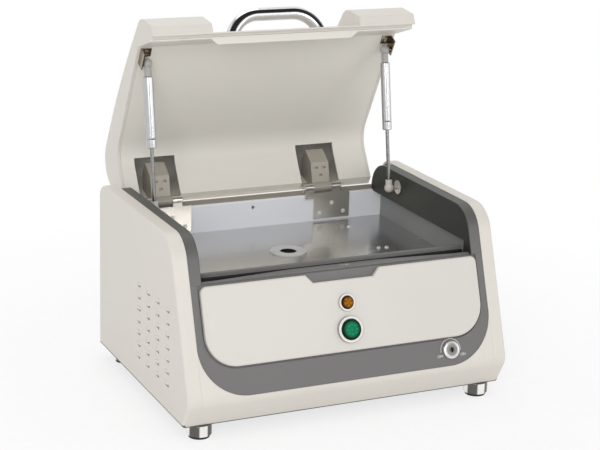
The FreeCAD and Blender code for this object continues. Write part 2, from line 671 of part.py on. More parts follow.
def interlock_sensor():
    """Lid sensor standing in the seal channel, with a round tip."""
    floor = f"({SILL_TOP} - channel_depth + gasket)"
    body = box("interlock_body", ("sensor_left", f"{SENSOR_BACK} - sensor_depth", floor),
               ("sensor_length", "sensor_depth", "sensor_height"))
    tip = cylinder("interlock_tip", "sensor_depth / 3", "sensor_height + 1",
                   ("sensor_left + 0.7 * sensor_length", f"{SENSOR_BACK} - sensor_depth / 2", floor))
    return keep(join("interlock_sensor", [body, tip]))


bezel_front()
front_panel()
bezel_rail("bezel_rail_right", 1)
bezel_rail("bezel_rail_left", -1)
front_sill()
sill_gasket()
interlock_sensor()


# Sample chamber
def deck_plate():
    body = new_body("deck_plate")
    sketch = new_sketch(body, "XY_Plane", DECK)
    rectangle(sketch, f"-{CHAMBER}", f"{SILL_Y} + lip_rear", CHAMBER, REAR_WALL)
    circle(sketch, "0", "aperture_y", "ring_radius - ring_land")
    for x, y in DECK_SCREWS:
        circle(sketch, x, y, "screw_hole")
    pad(body, sketch, "sheet", reverse=True)
    return keep(body)


def chamber_rear_wall():
    """Rear wall folded back to the rear panel, with one cable hole and its ends cut round the rails."""
    body = new_body("chamber_rear_wall")
    sketch = new_sketch(body, "YZ_Plane")
    outline(sketch, [
        (REAR_WALL, f"{DECK} - sheet"),
        (f"{REAR_WALL} + sheet", f"{DECK} - sheet"),
        (f"{REAR_WALL} + sheet", f"{WALL_TOP} - sheet"),
        (f"{BACK} - sheet", f"{WALL_TOP} - sheet"),
        (f"{BACK} - sheet", WALL_TOP),
        (REAR_WALL, WALL_TOP, "sheet - 1")])
    pad(body, sketch, f"2 * {CHAMBER}", symmetric=True)
    hole = new_sketch(body, "XZ_Plane", f"-{BACK}")
    circle(hole, "0", f"{WALL_TOP} - cable_drop", "cable_hole")
    rectangle(hole, RAIL_IN, RAIL_BOTTOM, f"{SHELL_IN} + rail_width", f"{WALL_TOP} + sheet")
    rectangle(hole, f"-{SHELL_IN} - rail_width", RAIL_BOTTOM, f"-{RAIL_IN}", f"{WALL_TOP} + sheet")
    pocket(body, hole)
    return keep(body)


def chamber_side(label, side):
    left = CHAMBER if side > 0 else f"-{CHAMBER} - sheet"
    front = f"({SILL_Y} + lip_rear)"
    return keep(box(label, (left, front, f"{DECK} - sheet"),
                    ("sheet", f"{REAR_WALL} + sheet - {front}", f"{RAIL_BOTTOM} - {DECK} + sheet")))


def aperture_ring():
    """Turned ring round the measuring window, with two spanner notches."""
    inner = "aperture_radius"
    spigot = "ring_radius - ring_land - fit"
    body = turned("aperture_ring", [
        (inner, "-sheet"), (spigot, "-sheet"), (spigot, "0"),
        ("ring_radius", "0"), ("ring_radius", "ring_height", "ring_height / 2.5"),
        (f"{inner} + ring_height", "ring_height"), (inner, "0.2 * ring_height")])
    sketch = new_sketch(body, "XY_Plane", "ring_height")
    rectangle(sketch, "ring_radius - 1.5 * ring_land", "-ring_land / 2", "ring_radius + 1", "ring_land / 2")
    notch = pocket(body, sketch, "0.8 * ring_height")
    ring_pattern(body, notch, sketch, 2)
    return keep(place(body, "0", "aperture_y", DECK))


deck_plate()
chamber_rear_wall()
chamber_side("chamber_side_right", 1)
chamber_side("chamber_side_left", -1)
aperture_ring()


# Feet
def feet():
    body = new_body("feet")
    sketch = new_sketch(body, "XY_Plane", "pad_height")
    for x, y in FEET:
        circle(sketch, x, y, "foot_radius")
        circle(sketch, x, y, "foot_hole - 1")
    pad(body, sketch, "floor_gap - pad_height")
    low = number("pad_height")
    rim = number("2 * pi * foot_radius")
    round_edges(body, "foot_round",
                lambda edge: abs(edge.Length - rim) < 0.1 and edge.Vertexes[0].Z < low + 0.01)
    return keep(body)


def foot_pads():
    body = new_body("foot_pads")
    sketch = new_sketch(body, "XY_Plane")
    for x, y in FEET:
        circle(sketch, x, y, "foot_radius - pad_margin")
        circle(sketch, x, y, "foot_hole")
    pad(body, sketch, "pad_height")
    return keep(body)


feet()
foot_pads()


# Lamp, start button and key switch
def lamp():
    """Round bezel and domed lens of the warning lamp."""
    face = "panel_proud"
    seat = f"{face} + 1"
    bore = "lamp_radius - 1.5"
    bezel = turned("lamp_bezel", [
        (bore, f"{face} - lamp_depth"), ("lamp_radius", f"{face} - lamp_depth"), ("lamp_radius", face),
        ("lamp_radius + lamp_flange", face),
        ("lamp_radius + lamp_flange", f"{face} + lamp_flange", "lamp_flange / 2"),
        ("lamp_radius - fit", f"{face} + lamp_flange"), ("lamp_radius - fit", seat), (bore, seat)])
    keep(place_on_front(bezel, "0", "lamp_up"))
    lens = turned("lamp_lens", [
        ("0", seat), ("lamp_radius - 2 * fit", seat),
        ("lamp_radius - 2 * fit", f"{face} + lamp_flange + 2", "lamp_flange"),
        ("0", f"{face} + lamp_flange + 3.5")])
    keep(place_on_front(lens, "0", "lamp_up"))


def start_button():
    """Illuminated push button that slides in its bezel."""
    face = "panel_proud"
    rim = f"{face} + 6"
    low = f"{face} - button_depth"
    seat = f"{face} + hole_room"
    bore = "button_radius - button_wall"
    collar = turned("button_bezel", [
        (bore, low), ("button_radius", low), ("button_radius", face),
        ("button_radius + button_flange", face), ("button_radius + button_flange", rim, "button_flange / 2"),
        ("button_radius + fit", rim), ("button_radius + fit", seat), (bore, seat)])
    keep(place_on_front(collar, "0", "button_up"))
    stem = f"{bore} - 0.4"
    edge = "button_radius - 0.4"
    skirt = f"{seat} + hole_room + button_travel"
    cap = turned("start_button", [
        ("0", f"{face} - 0.7 * button_depth"), (stem, f"{face} - 0.7 * button_depth"), (stem, skirt),
        (edge, skirt), (edge, f"{rim} + button_travel", "2"), ("0", f"{rim} + button_travel + 0.6")])
    keep(place_on_front(cap, "0", "button_up"))


def key_switch():
    """Round lock body with a slotted plug that turns inside it."""
    face = "-bezel_recess"
    low = f"{face} - key_depth"
    top = f"{face} + key_rise"
    bore = "plug_radius + running"
    shell = turned("key_switch_body", [
        (bore, low), ("key_radius - 3.5", low), ("key_radius - 3.5", face), ("key_radius", face),
        ("key_radius", f"{top} - 1", "1.5"), ("plug_radius + 4", top), (bore, top)])
    keep(place_on_front(shell, "key_across", "key_up"))
    plug = turned("key_plug", [
        ("0", f"{low} + 4"), ("plug_radius", f"{low} + 4"), ("plug_radius", top), ("0", top)])
    slot = new_sketch(plug, "XY_Plane", top)
    rectangle(slot, "-1", "-0.7 * plug_radius", "1", "0.7 * plug_radius")
    pocket(plug, slot, "2 * key_rise")
    keep(place_on_front(plug, "key_across", "key_up"))


lamp()
start_button()
key_switch()


# Hinges
def hinge(side_name, left):
    """Plate and end knuckles on the rear wall, a lid block with the middle knuckle, and the pin."""
    first = f"({left} - knuckle_end)"
    last = f"({left} + block_width + fit)"
    bore = "pin_radius + running"
    plate_y = f"({REAR_WALL} - leaf_thick)"
    neck_low = f"({LEAF_LOW} + leaf_height - leaf_neck)"
    pieces = [box(f"leaf_plate_{side_name}", (left, plate_y, LEAF_LOW),
                  ("leaf_width", "leaf_thick", "leaf_height"))]
    for name, start in (("near", first), ("far", last)):
        pieces.append(cylinder(f"leaf_knuckle_{name}_{side_name}", "knuckle_radius", "knuckle_end",
                               (start, HINGE_Y, HINGE_Z), ALONG, "90"))
        pieces.append(box(f"leaf_neck_{name}_{side_name}", (start, plate_y, neck_low),
                          ("knuckle_end", "leaf_thick", f"{HINGE_Z} - {neck_low}")))
    holes = [cylinder(f"leaf_bore_{side_name}", bore, "4 * leaf_width",
                      (f"{left} - leaf_width", HINGE_Y, HINGE_Z), ALONG, "90")]
    for i, (x, z) in enumerate(LEAF_SCREWS):
        spot = (f"{left} + {x}", f"{REAR_WALL} + leaf_thick", f"{LEAF_LOW} + {z}")
        holes.append(cylinder(f"leaf_hole_{i}_{side_name}", "screw_hole", "3 * leaf_thick", spot,
                              ACROSS, "90"))
    keep(cut(f"hinge_leaf_{side_name}", join(f"leaf_solid_{side_name}", pieces), holes))
    hinge_block(side_name, left, bore)
    return cylinder(f"pin_{side_name}", "pin_radius", "2 * knuckle_end + block_width + 2 * fit",
                    (first, HINGE_Y, HINGE_Z), ALONG, "90")


def hinge_block(side_name, left, bore):
    """Solid arm from the middle knuckle up into the lid, drawn shut, with three slots in its face."""
    body = new_body(f"hinge_block_{side_name}")
    start = f"{left} + fit / 2"
    sketch = new_sketch(body, "YZ_Plane", start)
    tail_in = f"({BACK} + tail_back - skin)"
    foot_y, foot_z = f"({HINGE_Y} - block_foot)", f"({HINGE_Z} + block_foot)"
    knee_y, knee_z = f"({tail_in} - block_reach)", f"({HINGE_Z} + block_lift)"
    outline(sketch, [
        (tail_in, f"{HINGE_Z} + 13.5"), (tail_in, f"{HINGE_Z} + 49"), (f"{tail_in} - 25", f"{HINGE_Z} + 59"),
        (f"{knee_y} - 9", f"{knee_z} + 30.3", "2"), (knee_y, knee_z, "2"),
        (foot_y, foot_z), (f"{HINGE_Y} + 3", f"{HINGE_Z} + 3")])
    pad(body, sketch, "block_width - fit")
    barrel = new_sketch(body, "YZ_Plane", start)
    circle(barrel, HINGE_Y, HINGE_Z, "knuckle_radius")
    pad(body, barrel, "block_width - fit")
    hole = new_sketch(body, "YZ_Plane")
    circle(hole, HINGE_Y, HINGE_Z, bore)
    pocket(body, hole)
    slots = new_sketch(body, "XY_Plane")
    lean_sketch(slots, foot_y, foot_z, f"180 deg - atan(({knee_z} - {foot_z}) / ({foot_y} - {knee_y}))")
    for share, up in ((0.28, "block_slot_high"), (0.72, "block_slot_high"), (0.5, "block_slot_low")):
        middle = f"({left} + {share} * block_width)"
        rectangle(slots, f"{middle} - block_slot / 2", f"{up} - block_slot_height / 2",
                  f"{middle} + block_slot / 2", f"{up} + block_slot_height / 2")
    pocket(body, slots, "block_slot_depth")
    keep(place_with_lid(body))


def screws_on(label, spots, axis=None, turn="0"):
    return [cylinder(f"{label}_{i}", "screw_radius", "screw_height", spot, axis, turn)
            for i, spot in enumerate(spots)]


def chamber_screws():
    """Pan-head screws of the deck and of both hinge plates, one group of loose solids."""
    heads = screws_on("deck_screw", [(x, y, DECK) for x, y in DECK_SCREWS])
    for name, left in HINGE_LEFTS:
        spots = [(f"{left} + {x}", f"{REAR_WALL} - leaf_thick", f"{LEAF_LOW} + {z}") for x, z in LEAF_SCREWS]
        heads += screws_on(f"leaf_screw_{name}", spots, ACROSS, "90")
    keep(group("chamber_screws", heads))


pins = [hinge(name, left) for name, left in HINGE_LEFTS]
keep(group("hinge_pins", pins))
chamber_screws()


# Lid
NOSE_BOTTOM = (f"{SILL_Y} + nose_bottom_back", "side_height - nose_bottom_drop")
NOSE_EDGE = (f"{SILL_Y} + nose_edge_back", "side_height - nose_edge_drop")
NOSE_TOP = (f"({SILL_Y} + nose_top_back)", "side_height - nose_top_drop")
TAIL_Y = f"({BACK} + tail_back)"
CROWN = (f"(({NOSE_TOP[0]} + {TAIL_Y}) / 2 - crown_forward)", "side_height + crown_rise")
RIM_FRONT = (f"{SILL_Y} + rim_front_back", "side_height - rim_front_drop")
RIM_PEAK = (f"{HINGE_Y} - rim_peak", "side_height + rim_peak_rise")
RIM_END = (f"{HINGE_Y} - rim_end", f"{HINGE_Z} + rim_end_rise")
LIP_EDGE = (f"{SILL_Y} + lip_edge_back", "side_height - lip_edge_drop")
LIP_TILT = "atan((lip_edge_drop - lip_face_drop) / (lip_edge_back - lip_face_back))"
LIP_LENGTH = "sqrt((lip_edge_back - lip_face_back)^2 + (lip_edge_drop - lip_face_drop)^2)"
WALL_FOOT_Y = f"({SILL_Y} + wall_foot_back)"
WALL_FOOT_Z = "(side_height - wall_foot_drop)"

# The crown's wide arc ends before the tail's, and inside it ends before the sloping wall
CROWN_TURN = (f"(atan((crown_rise + nose_top_drop) / ({CROWN[0]} - {NOSE_TOP[0]}))"
              f" - atan((tail_rise - crown_rise) / ({TAIL_Y} - {CROWN[0]})))")
CROWN_ARC = f"min(crown_round; ({TAIL_Y} - {CROWN[0]} - 1.25 * tail_round) / tan({CROWN_TURN} / 2))"
INNER_ARC = (f"min({CROWN_ARC} - skin; ({CROWN[0]} - {WALL_FOOT_Y} - wall_rise * cos(wall_tilt)"
             f" - skin * sin(wall_tilt)) / tan({CROWN_TURN} / 2))")


def on_wall(along, inward):
    """A spot on the sloping wall behind the handle, measured up the wall and into the lid."""
    return (f"{WALL_FOOT_Y} + ({along}) * cos(wall_tilt) + ({inward}) * sin(wall_tilt)",
            f"{WALL_FOOT_Z} + ({along}) * sin(wall_tilt) - ({inward}) * cos(wall_tilt)")


def on_lip(along, inward):
    """A spot on the lid's front lip, measured back along its face and into the lid."""
    return (f"{SILL_Y} + lip_face_back + ({along}) * cos({LIP_TILT}) + ({inward}) * sin({LIP_TILT})",
            f"side_height - lip_face_drop - ({along}) * sin({LIP_TILT}) + ({inward}) * cos({LIP_TILT})")


def lid_shell():
    """Domed outer lid with two rounded noses and a cut-away middle for the handle."""
    body = new_body("lid_shell")
    sketch = new_sketch(body, "YZ_Plane")
    outline(sketch, [
        NOSE_BOTTOM + ("nose_tip_round",), NOSE_EDGE + ("nose_edge_round",), NOSE_TOP + ("nose_round",),
        CROWN + (CROWN_ARC,), (TAIL_Y, "side_height + tail_rise", "tail_round"),
        (TAIL_Y, f"{HINGE_Z} + tail_hem"), RIM_END, RIM_PEAK + ("rim_round",), RIM_FRONT, LIP_EDGE,
        on_lip("0", "0")])
    pad(body, sketch, f"2 * {LID_HALF}", symmetric=True)
    middle = new_sketch(body, "YZ_Plane")
    above = "1.5 * wall_rise"
    outline(middle, [on_wall("-25", "0"), on_wall(above, "0"), on_wall(above, "-wall_rise"),
                     on_wall("-25", "-wall_rise")])
    pocket(body, middle, "2 * cutaway_half", symmetric=True)
    inside = new_sketch(body, "YZ_Plane")
    tail_in, under = f"{TAIL_Y} - skin", f"{HINGE_Z} - skin"
    outline(inside, [
        on_lip("lip_wall", "-skin"), on_lip("lip_wall", "liner + fit"), on_wall("2 * skin", "skin"),
        on_wall("wall_rise", "skin"),
        (f"{CROWN[0]} + 1", f"{CROWN[1]} - skin", INNER_ARC),
        (tail_in, "side_height + tail_rise - skin", "tail_round - skin"),
        (tail_in, under), (f"{HINGE_Y} - rim_peak", under), (f"{LIP_EDGE[0]} + 6", f"{LIP_EDGE[1]} - 6")])
    pocket(body, inside, f"2 * {LID_IN}", symmetric=True)
    for side in (1, -1):
        nose = new_sketch(body, "YZ_Plane", f"{side} * (cutaway_half + skin)")
        lip_y, lip_z = on_lip("0", "0")
        outline(nose, [
            (f"{NOSE_BOTTOM[0]} - 1", f"{NOSE_BOTTOM[1]} + 1.5 * skin"),
            (f"{NOSE_EDGE[0]} + 1.1 * skin", f"{NOSE_EDGE[1]} + 0.2 * skin"),
            (f"{NOSE_TOP[0]} + 0.85 * skin", f"{NOSE_TOP[1]} - 0.8 * skin", "nose_round - skin"),
            on_wall("wall_rise", "skin + 1"), on_wall("2 * skin", "skin + 1"),
            (f"{lip_y} - 1.5", f"{lip_z} + 1.25 * skin")])
        pocket(body, nose, f"{LID_IN} - cutaway_half - skin", reverse=side > 0)
    return keep(place_with_lid(body))


def lid_liner():
    """Bent inner skin with a front lip, a deeper tab in its middle and openings for the hinge blocks."""
    path = doc.addObject("Sketcher::SketchObject", "liner_path")
    path.Placement = Placement(Vector(), Rotation(Vector(1, 1, 1), 120))
    outline(path, [
        on_lip("lip_wall + fit", "0"), LIP_EDGE + ("2",), RIM_FRONT + ("4",), RIM_PEAK + ("rim_round",),
        RIM_END + ("1",), (f"{TAIL_Y} - skin", f"{HINGE_Z} + rim_end_rise + 4")], closed=False)
    band = doc.addObject("Part::Offset2D", "liner_band")
    band.Source = path
    bind(band, "Value", "-liner")
    band.Mode = "Skin"
    band.Fill = True
    bent = doc.addObject("Part::Extrusion", "liner_bent")
    bent.Base = band
    bent.DirMode = "Custom"
    bent.Dir = ACROSS
    bent.Solid = True
    bent.Symmetric = True
    bind(bent, "LengthFwd", f"2 * ({LID_IN} - fit)")
    openings = []
    for name, left in HINGE_LEFTS:
        openings.append(box(f"liner_opening_{name}",
                            (f"{left} - knuckle_end - 2", f"{TAIL_Y} - skin - 58", f"{HINGE_Z} - 10"),
                            ("2 * knuckle_end + block_width + 4", "58", "70")))
    skin = place_with_lid(cut("liner_skin", bent, openings))
    return keep(join("lid_liner", [skin, liner_tab()]))


def liner_tab():
    """Flat tab that carries the middle of the lip further down, with slanted ends."""
    body = new_body("liner_tab")
    sketch = new_sketch(body, "XY_Plane")
    low, root = f"{LIP_LENGTH} + tab_depth", f"{LIP_LENGTH} - tab_lap"
    outline(sketch, [
        ("-cutaway_half", root), ("cutaway_half", root), ("cutaway_half", LIP_LENGTH),
        ("cutaway_half - tab_slant", low, "tab_lap"), ("tab_slant - cutaway_half", low, "tab_lap"),
        ("-cutaway_half", LIP_LENGTH)])
    pad(body, sketch, "liner")
    y, z = opened(*on_lip("0", "0"))
    return place(body, "0", y, z, ACROSS, f"-{LIP_TILT} - lid_open * 1 deg")


def handle():
    """Chromed bow across the cut-away, with leaning feet cut off flush with its sloping wall."""
    body = new_body("handle")
    path = new_sketch(body, "XZ_Plane")
    lean = "((handle_foot - handle_half) / handle_rise)"
    start = f"(handle_foot + {lean} * handle_tube)"
    outline(path, [(f"-{start}", "-handle_tube"), ("-handle_half", "handle_rise", "handle_bend"),
                   ("handle_half", "handle_rise", "handle_bend"), (start, "-handle_tube")], closed=False)
    section = new_sketch(body, "XY_Plane")
    section.AttachmentOffset = Placement(Vector(), Rotation(ALONG, number(f"atan({lean})")))
    bind(section, "AttachmentOffset.Base.x", f"-{start}")
    bind(section, "AttachmentOffset.Base.z", "-handle_tube")
    bind(section, "AttachmentOffset.Rotation.Angle", f"atan({lean})")
    circle(section, "0", "0", "handle_tube")
    doc.recompute()
    bow = body.newObject("PartDesign::AdditivePipe", "handle_bow")
    bow.Profile = section
    bow.Spine = path
    doc.recompute()
    below = new_sketch(body, "XZ_Plane")
    rectangle(below, "-2 * handle_foot", "-handle_rise", "2 * handle_foot", "0")
    pocket(body, below)
    y, z = opened(*on_wall("handle_up", "0"))
    return keep(place(body, "0", y, z, ACROSS, "wall_tilt - lid_open"))


lid_shell()
lid_liner()
handle()


# Gas struts; the foot ball rides with the rod, the top ball stays on the lid
TOP_Y, TOP_Z = opened(f"{SILL_Y} + strut_top_back", "side_height - strut_top_drop")
FOOT_Y = f"({HINGE_Y} - strut_foot)"
FOOT_Z = "(side_height - strut_foot_drop)"
STRUT = f"sqrt(({TOP_Y} - {FOOT_Y})^2 + ({TOP_Z} - {FOOT_Z})^2)"
RIM_CLIMB = f"((rim_peak_rise + rim_front_drop) / ({RIM_PEAK[0]} - ({RIM_FRONT[0]})))"
RIM_SLOPE = f"atan({RIM_CLIMB})"
LINER_RISE = (f"((strut_top_drop - rim_front_drop + (strut_top_back - rim_front_back) * {RIM_CLIMB})"
              f" * cos({RIM_SLOPE}))")
STRUT_TILT = f"-atan(({TOP_Y} - {FOOT_Y}) / ({TOP_Z} - {FOOT_Z}))"


def along_strut(item, side):
    """Set an item drawn upwards from the foot ball on the open strut's line."""
    return place(item, f"{side} * strut_x", FOOT_Y, FOOT_Z, ACROSS, STRUT_TILT)


def strut(side_name, side):
    """Gas spring: tube, rod with its piston, moulded ends, foot stud and lid bracket."""
    low = f"({STRUT} - socket_top - tube_length)"
    top = f"({STRUT} - socket_top)"
    sleeve = "rod_radius + running"
    bore = "tube_radius - tube_wall"
    groove = f"{low} + 2.5 * gland"
    tube = turned(f"strut_tube_{side_name}", [
        (sleeve, low), ("tube_radius - 1", low), ("tube_radius", f"{low} + 1"),
        ("tube_radius", f"{groove} - 1"), ("tube_radius - 0.5", groove), ("tube_radius", f"{groove} + 1"),
        ("tube_radius", top, "tube_wall"), ("0", top), ("0", f"{top} - 2 * tube_wall"),
        (bore, f"{top} - 2 * tube_wall"), (bore, f"{low} + gland"), (sleeve, f"{low} + gland")])
    keep(along_strut(tube, side))
    head = f"{low} + 3 * gland"
    rod = turned(f"strut_rod_{side_name}", [
        ("0", "socket_foot"), ("rod_radius", "socket_foot"), ("rod_radius", head),
        (f"{bore} - 0.1", head), (f"{bore} - 0.1", f"{head} + piston"), ("0", f"{head} + piston")])
    keep(along_strut(rod, side))
    socket(f"strut_top_socket_{side_name}", side, STRUT, "-socket_top", "socket_top - ball_radius - 1")
    socket(f"strut_foot_socket_{side_name}", side, "0", "0", "socket_foot")
    foot_stud(side_name, side)
    strut_bracket(side_name, side)


def socket(label, side, centre, start, length):
    """Moulded end with a ball pocket that opens towards the side wall."""
    neck = cylinder(label + "_neck", "socket_neck", length, ("0", "0", f"{centre} + {start}"))
    seam = "90" if start == "0" else "-90"
    head = ball(label + "_head", "ball_radius + socket_wall", ("0", "0", centre), seam)
    solid = join(label + "_solid", [neck, head])
    seat = ball(label + "_seat", "ball_radius + running", ("0", "0", centre), seam)
    mouth = cylinder(label + "_mouth", "ball_radius - 0.6", "4 * ball_radius", ("0", "0", centre),
                     ALONG, f"{side} * 90")
    keep(along_strut(cut(label, solid, [seat, mouth]), side))


def foot_stud(side_name, side):
    """Ball stud and flange that stand just off the rail's inner face."""
    wall = f"({RAIL_IN} - fit - strut_x)"
    turn = f"{side} * 90"
    head = ball(f"foot_ball_{side_name}", "ball_radius", ("0", "0", "0"))
    neck = cylinder(f"foot_neck_{side_name}", "stud_neck", wall, ("0", "0", "0"), ALONG, turn)
    flange = cylinder(f"foot_flange_{side_name}", "stud_flange", "stud_sheet",
                      (f"{side} * ({wall} - stud_sheet)", "0", "0"), ALONG, turn)
    stud = join(f"strut_foot_stud_{side_name}", [head, neck, flange])
    keep(place(stud, f"{side} * strut_x", FOOT_Y, FOOT_Z))


def strut_bracket(side_name, side):
    """Folded bracket screwed to the liner; its ear carries the strut's top ball."""
    ear_x = f"({LID_IN} - 2 * fit - strut_x)"
    head = ball(f"top_ball_{side_name}", "ball_radius", ("0", "0", "0"))
    neck = cylinder(f"top_neck_{side_name}", "stud_neck", ear_x, ("0", "0", "0"), ALONG, f"{side} * 90")
    ear_left = f"{ear_x} - bracket" if side > 0 else f"-{ear_x}"
    ear = box(f"top_ear_{side_name}", (ear_left, "-bracket_up", "-bracket_ear"),
              ("bracket", "bracket_up + bracket_ear", f"{LINER_RISE} + bracket_ear"))
    foot_left = f"{ear_x} - bracket_foot" if side > 0 else f"-{ear_x}"
    foot_z = f"{LINER_RISE} - bracket"
    foot = box(f"top_foot_{side_name}", (foot_left, "-bracket_up", foot_z),
               ("bracket_foot", "bracket_up - bracket_ear", "bracket"))
    screw = cylinder(f"top_screw_{side_name}", "screw_radius", "screw_height",
                     (f"{side} * ({ear_x} - (bracket_foot + bracket) / 2)", "-(bracket_up + bracket_ear) / 2",
                      f"{foot_z} - screw_height"))
    bracket = join(f"strut_bracket_{side_name}", [head, neck, ear, foot, screw])
    keep(place(bracket, f"{side} * strut_x", TOP_Y, TOP_Z, ACROSS, f"{RIM_SLOPE} - lid_open * 1 deg"))


strut("right", 1)
strut("left", -1)


# Works inside the housing
def fan():
    """Axial fan: square frame with a bore and spider, and a hub with seven pitched blades."""
    front_y = f"({BACK} - sheet - fan_depth)"
    frame = new_body("fan_frame")
    sketch = new_sketch(frame, "XZ_Plane", f"-({BACK} - sheet)", "fan_x", "fan_z")
    outline(sketch, [
        ("-fan_half", "-fan_half", "fan_corner"), ("fan_half", "-fan_half", "fan_corner"),
        ("fan_half", "fan_half", "fan_corner"), ("-fan_half", "fan_half", "fan_corner")])
    circle(sketch, "0", "0", "fan_half - fan_rim")
    pad(frame, sketch, "fan_depth")
    spider = new_sketch(frame, "XZ_Plane", f"-{front_y} - fan_rim", "fan_x", "fan_z")
    reach = "(fan_half - fan_rim + 1)"
    rectangle(spider, f"-{reach}", "-fan_spider / 2", reach, "fan_spider / 2")
    pad(frame, spider, "fan_rim")
    axle = new_sketch(frame, "XZ_Plane", f"-{front_y} - fan_rim", "fan_x", "fan_z")
    circle(axle, "0", "0", "fan_axle")
    pad(frame, axle, "fan_hub_length + 2", reverse=True)
    keep(frame)
    hub = cylinder("fan_hub", "fan_hub", "fan_hub_length", ("0", "0", "0"))
    blades = []
    for i in range(7):
        blade = doc.addObject("Part::Box", f"fan_blade_{i}")
        bind(blade, "Length", "fan_half - fan_rim - blade_root - 5")
        bind(blade, "Width", "blade_thick")
        bind(blade, "Height", "blade_width")
        root = Vector(number("blade_root"), number("-blade_width * 0.4"), 1)
        round_hub = Placement(Vector(), Rotation(UP, i * 360 / 7))
        blade.Placement = round_hub * Placement(root, Rotation(ACROSS, 45))
        blades.append(blade)
    bore = cylinder("fan_bore", "fan_axle + running", "fan_hub_length", ("0", "0", "0"))
    rotor = cut("fan_rotor", join("fan_wheel", [hub] + blades), [bore])
    keep(place(rotor, "fan_x", f"{front_y} + fan_rim + 2", "fan_z", ACROSS, "-90"))


def power_inlet():
    """Mains inlet and switch frame in one rear module."""
    body = new_body("power_inlet")
    side, rise = "inlet_half", "inlet_half_height"
    flange = new_sketch(body, "XZ_Plane", f"-{BACK}", "inlet_x", "inlet_z")
    outline(flange, [(f"-{side}", f"-{rise}", "3"), (side, f"-{rise}", "3"), (side, rise, "3"),
                     (f"-{side}", rise, "3")])
    pad(body, flange, "inlet_flange", reverse=True)
    barrel = new_sketch(body, "XZ_Plane", f"-{BACK}", "inlet_x", "inlet_z")
    in_side, in_rise = f"({side} - inlet_margin - fit)", f"({rise} - inlet_margin - fit)"
    rectangle(barrel, f"-{in_side}", f"-{in_rise}", in_side, in_rise)
    pad(body, barrel, "inlet_depth")
    face = f"-{BACK} - inlet_flange"
    well = new_sketch(body, "XZ_Plane", face, "inlet_x", "inlet_z")
    outline(well, [("-12", "-26"), ("12", "-26"), ("12", "-11", "3"), ("7", "-6"), ("-7", "-6"),
                   ("-12", "-11", "3")])
    pocket(body, well, "inlet_depth - 6", reverse=True)
    window = new_sketch(body, "XZ_Plane", face, "inlet_x", "inlet_z")
    half = "rocker_width / 2 + 0.5"
    rectangle(window, f"-({half})", "rocker_up - 12.5", half, "rocker_up + 12.5")
    pocket(body, window, "inlet_depth - 10", reverse=True)
    for x in (-5, 0, 5):
        pin = new_sketch(body, "XZ_Plane", f"-{BACK} + inlet_depth - 8", "inlet_x", "inlet_z")
        rectangle(pin, f"{x} - 1", "-18", f"{x} + 1", "-14")
        pad(body, pin, "inlet_depth - 12", reverse=True)
    trunnions = new_sketch(body, "YZ_Plane", "inlet_x")
    circle(trunnions, f"{BACK} - rocker_set", "inlet_z + rocker_up", "rocker_pivot + running")
    pocket(body, trunnions, "rocker_width + 5", symmetric=True)
    keep(body)


def power_rocker():
    """Switch rocker with a dished face and a pin at each side."""
    rocker = new_body("power_rocker")
    shape = new_sketch(rocker, "YZ_Plane")
    outline(shape, [
        ("-8", "-6"), ("0", "-8"), ("1.5", "-10.6", "1"), ("4.4", "-10", "1"),
        ("3", "0", "10"), ("1.6", "10.6", "1"), ("0", "8"), ("-8", "6")])
    pad(rocker, shape, "rocker_width", symmetric=True)
    pivot = new_sketch(rocker, "YZ_Plane")
    circle(pivot, "-rocker_set", "0", "rocker_pivot")
    pad(rocker, pivot, "rocker_width + 4", symmetric=True)
    keep(place(rocker, "inlet_x", BACK, "inlet_z + rocker_up"))


def optics_stand(top):
    foot = box("stand_foot", ("-stand_left", "aperture_y - stand_half", FLOOR),
               ("stand_length", "2 * stand_half", "stand_height"))
    side = "motor_radius + 1"
    post = box("stand_post", (f"wheel_x - ({side})", f"aperture_y - ({side})", FLOOR),
               (f"2 * ({side})", f"2 * ({side})", f"{top} - motor_drop - {FLOOR}"))
    keep(join("optics_stand", [foot, post]))


def xray_tube(top):
    length = f"({top} - tube_drop - {FLOOR} - stand_height)"
    tube = turned("xray_tube", [
        ("0", "0"), ("tube_body", "0", "2"), ("tube_body", f"{length} - tube_shoulder - 5"),
        ("tube_snout", f"{length} - tube_shoulder"), ("tube_snout", length, "3"), ("0", length)])
    keep(place(tube, "0", "aperture_y", f"{FLOOR} + stand_height"))


def filter_wheel(top):
    """Six-port filter wheel on the shaft of its motor."""
    shaft = f"{top} - wheel_drop - ({top} - motor_drop) + wheel_thick - 1"
    motor = turned("filter_motor", [
        ("0", "0"), ("motor_radius", "0", "1"), ("motor_radius", "motor_length", "1"),
        ("shaft_radius", "motor_length"), ("shaft_radius", shaft), ("0", shaft)])
    keep(place(motor, "wheel_x", "aperture_y", f"{top} - motor_drop"))
    wheel = new_body("filter_wheel")
    disc = new_sketch(wheel, "XY_Plane")
    circle(disc, "0", "0", "wheel_radius")
    circle(disc, "0", "0", "shaft_radius + running")
    pad(wheel, disc, "wheel_thick")
    port = new_sketch(wheel, "XY_Plane")
    circle(port, "-wheel_x", "0", "wheel_port")
    ring_pattern(wheel, pocket(wheel, port), port, 6)
    keep(place(wheel, "wheel_x", "aperture_y", f"{top} - wheel_drop"))


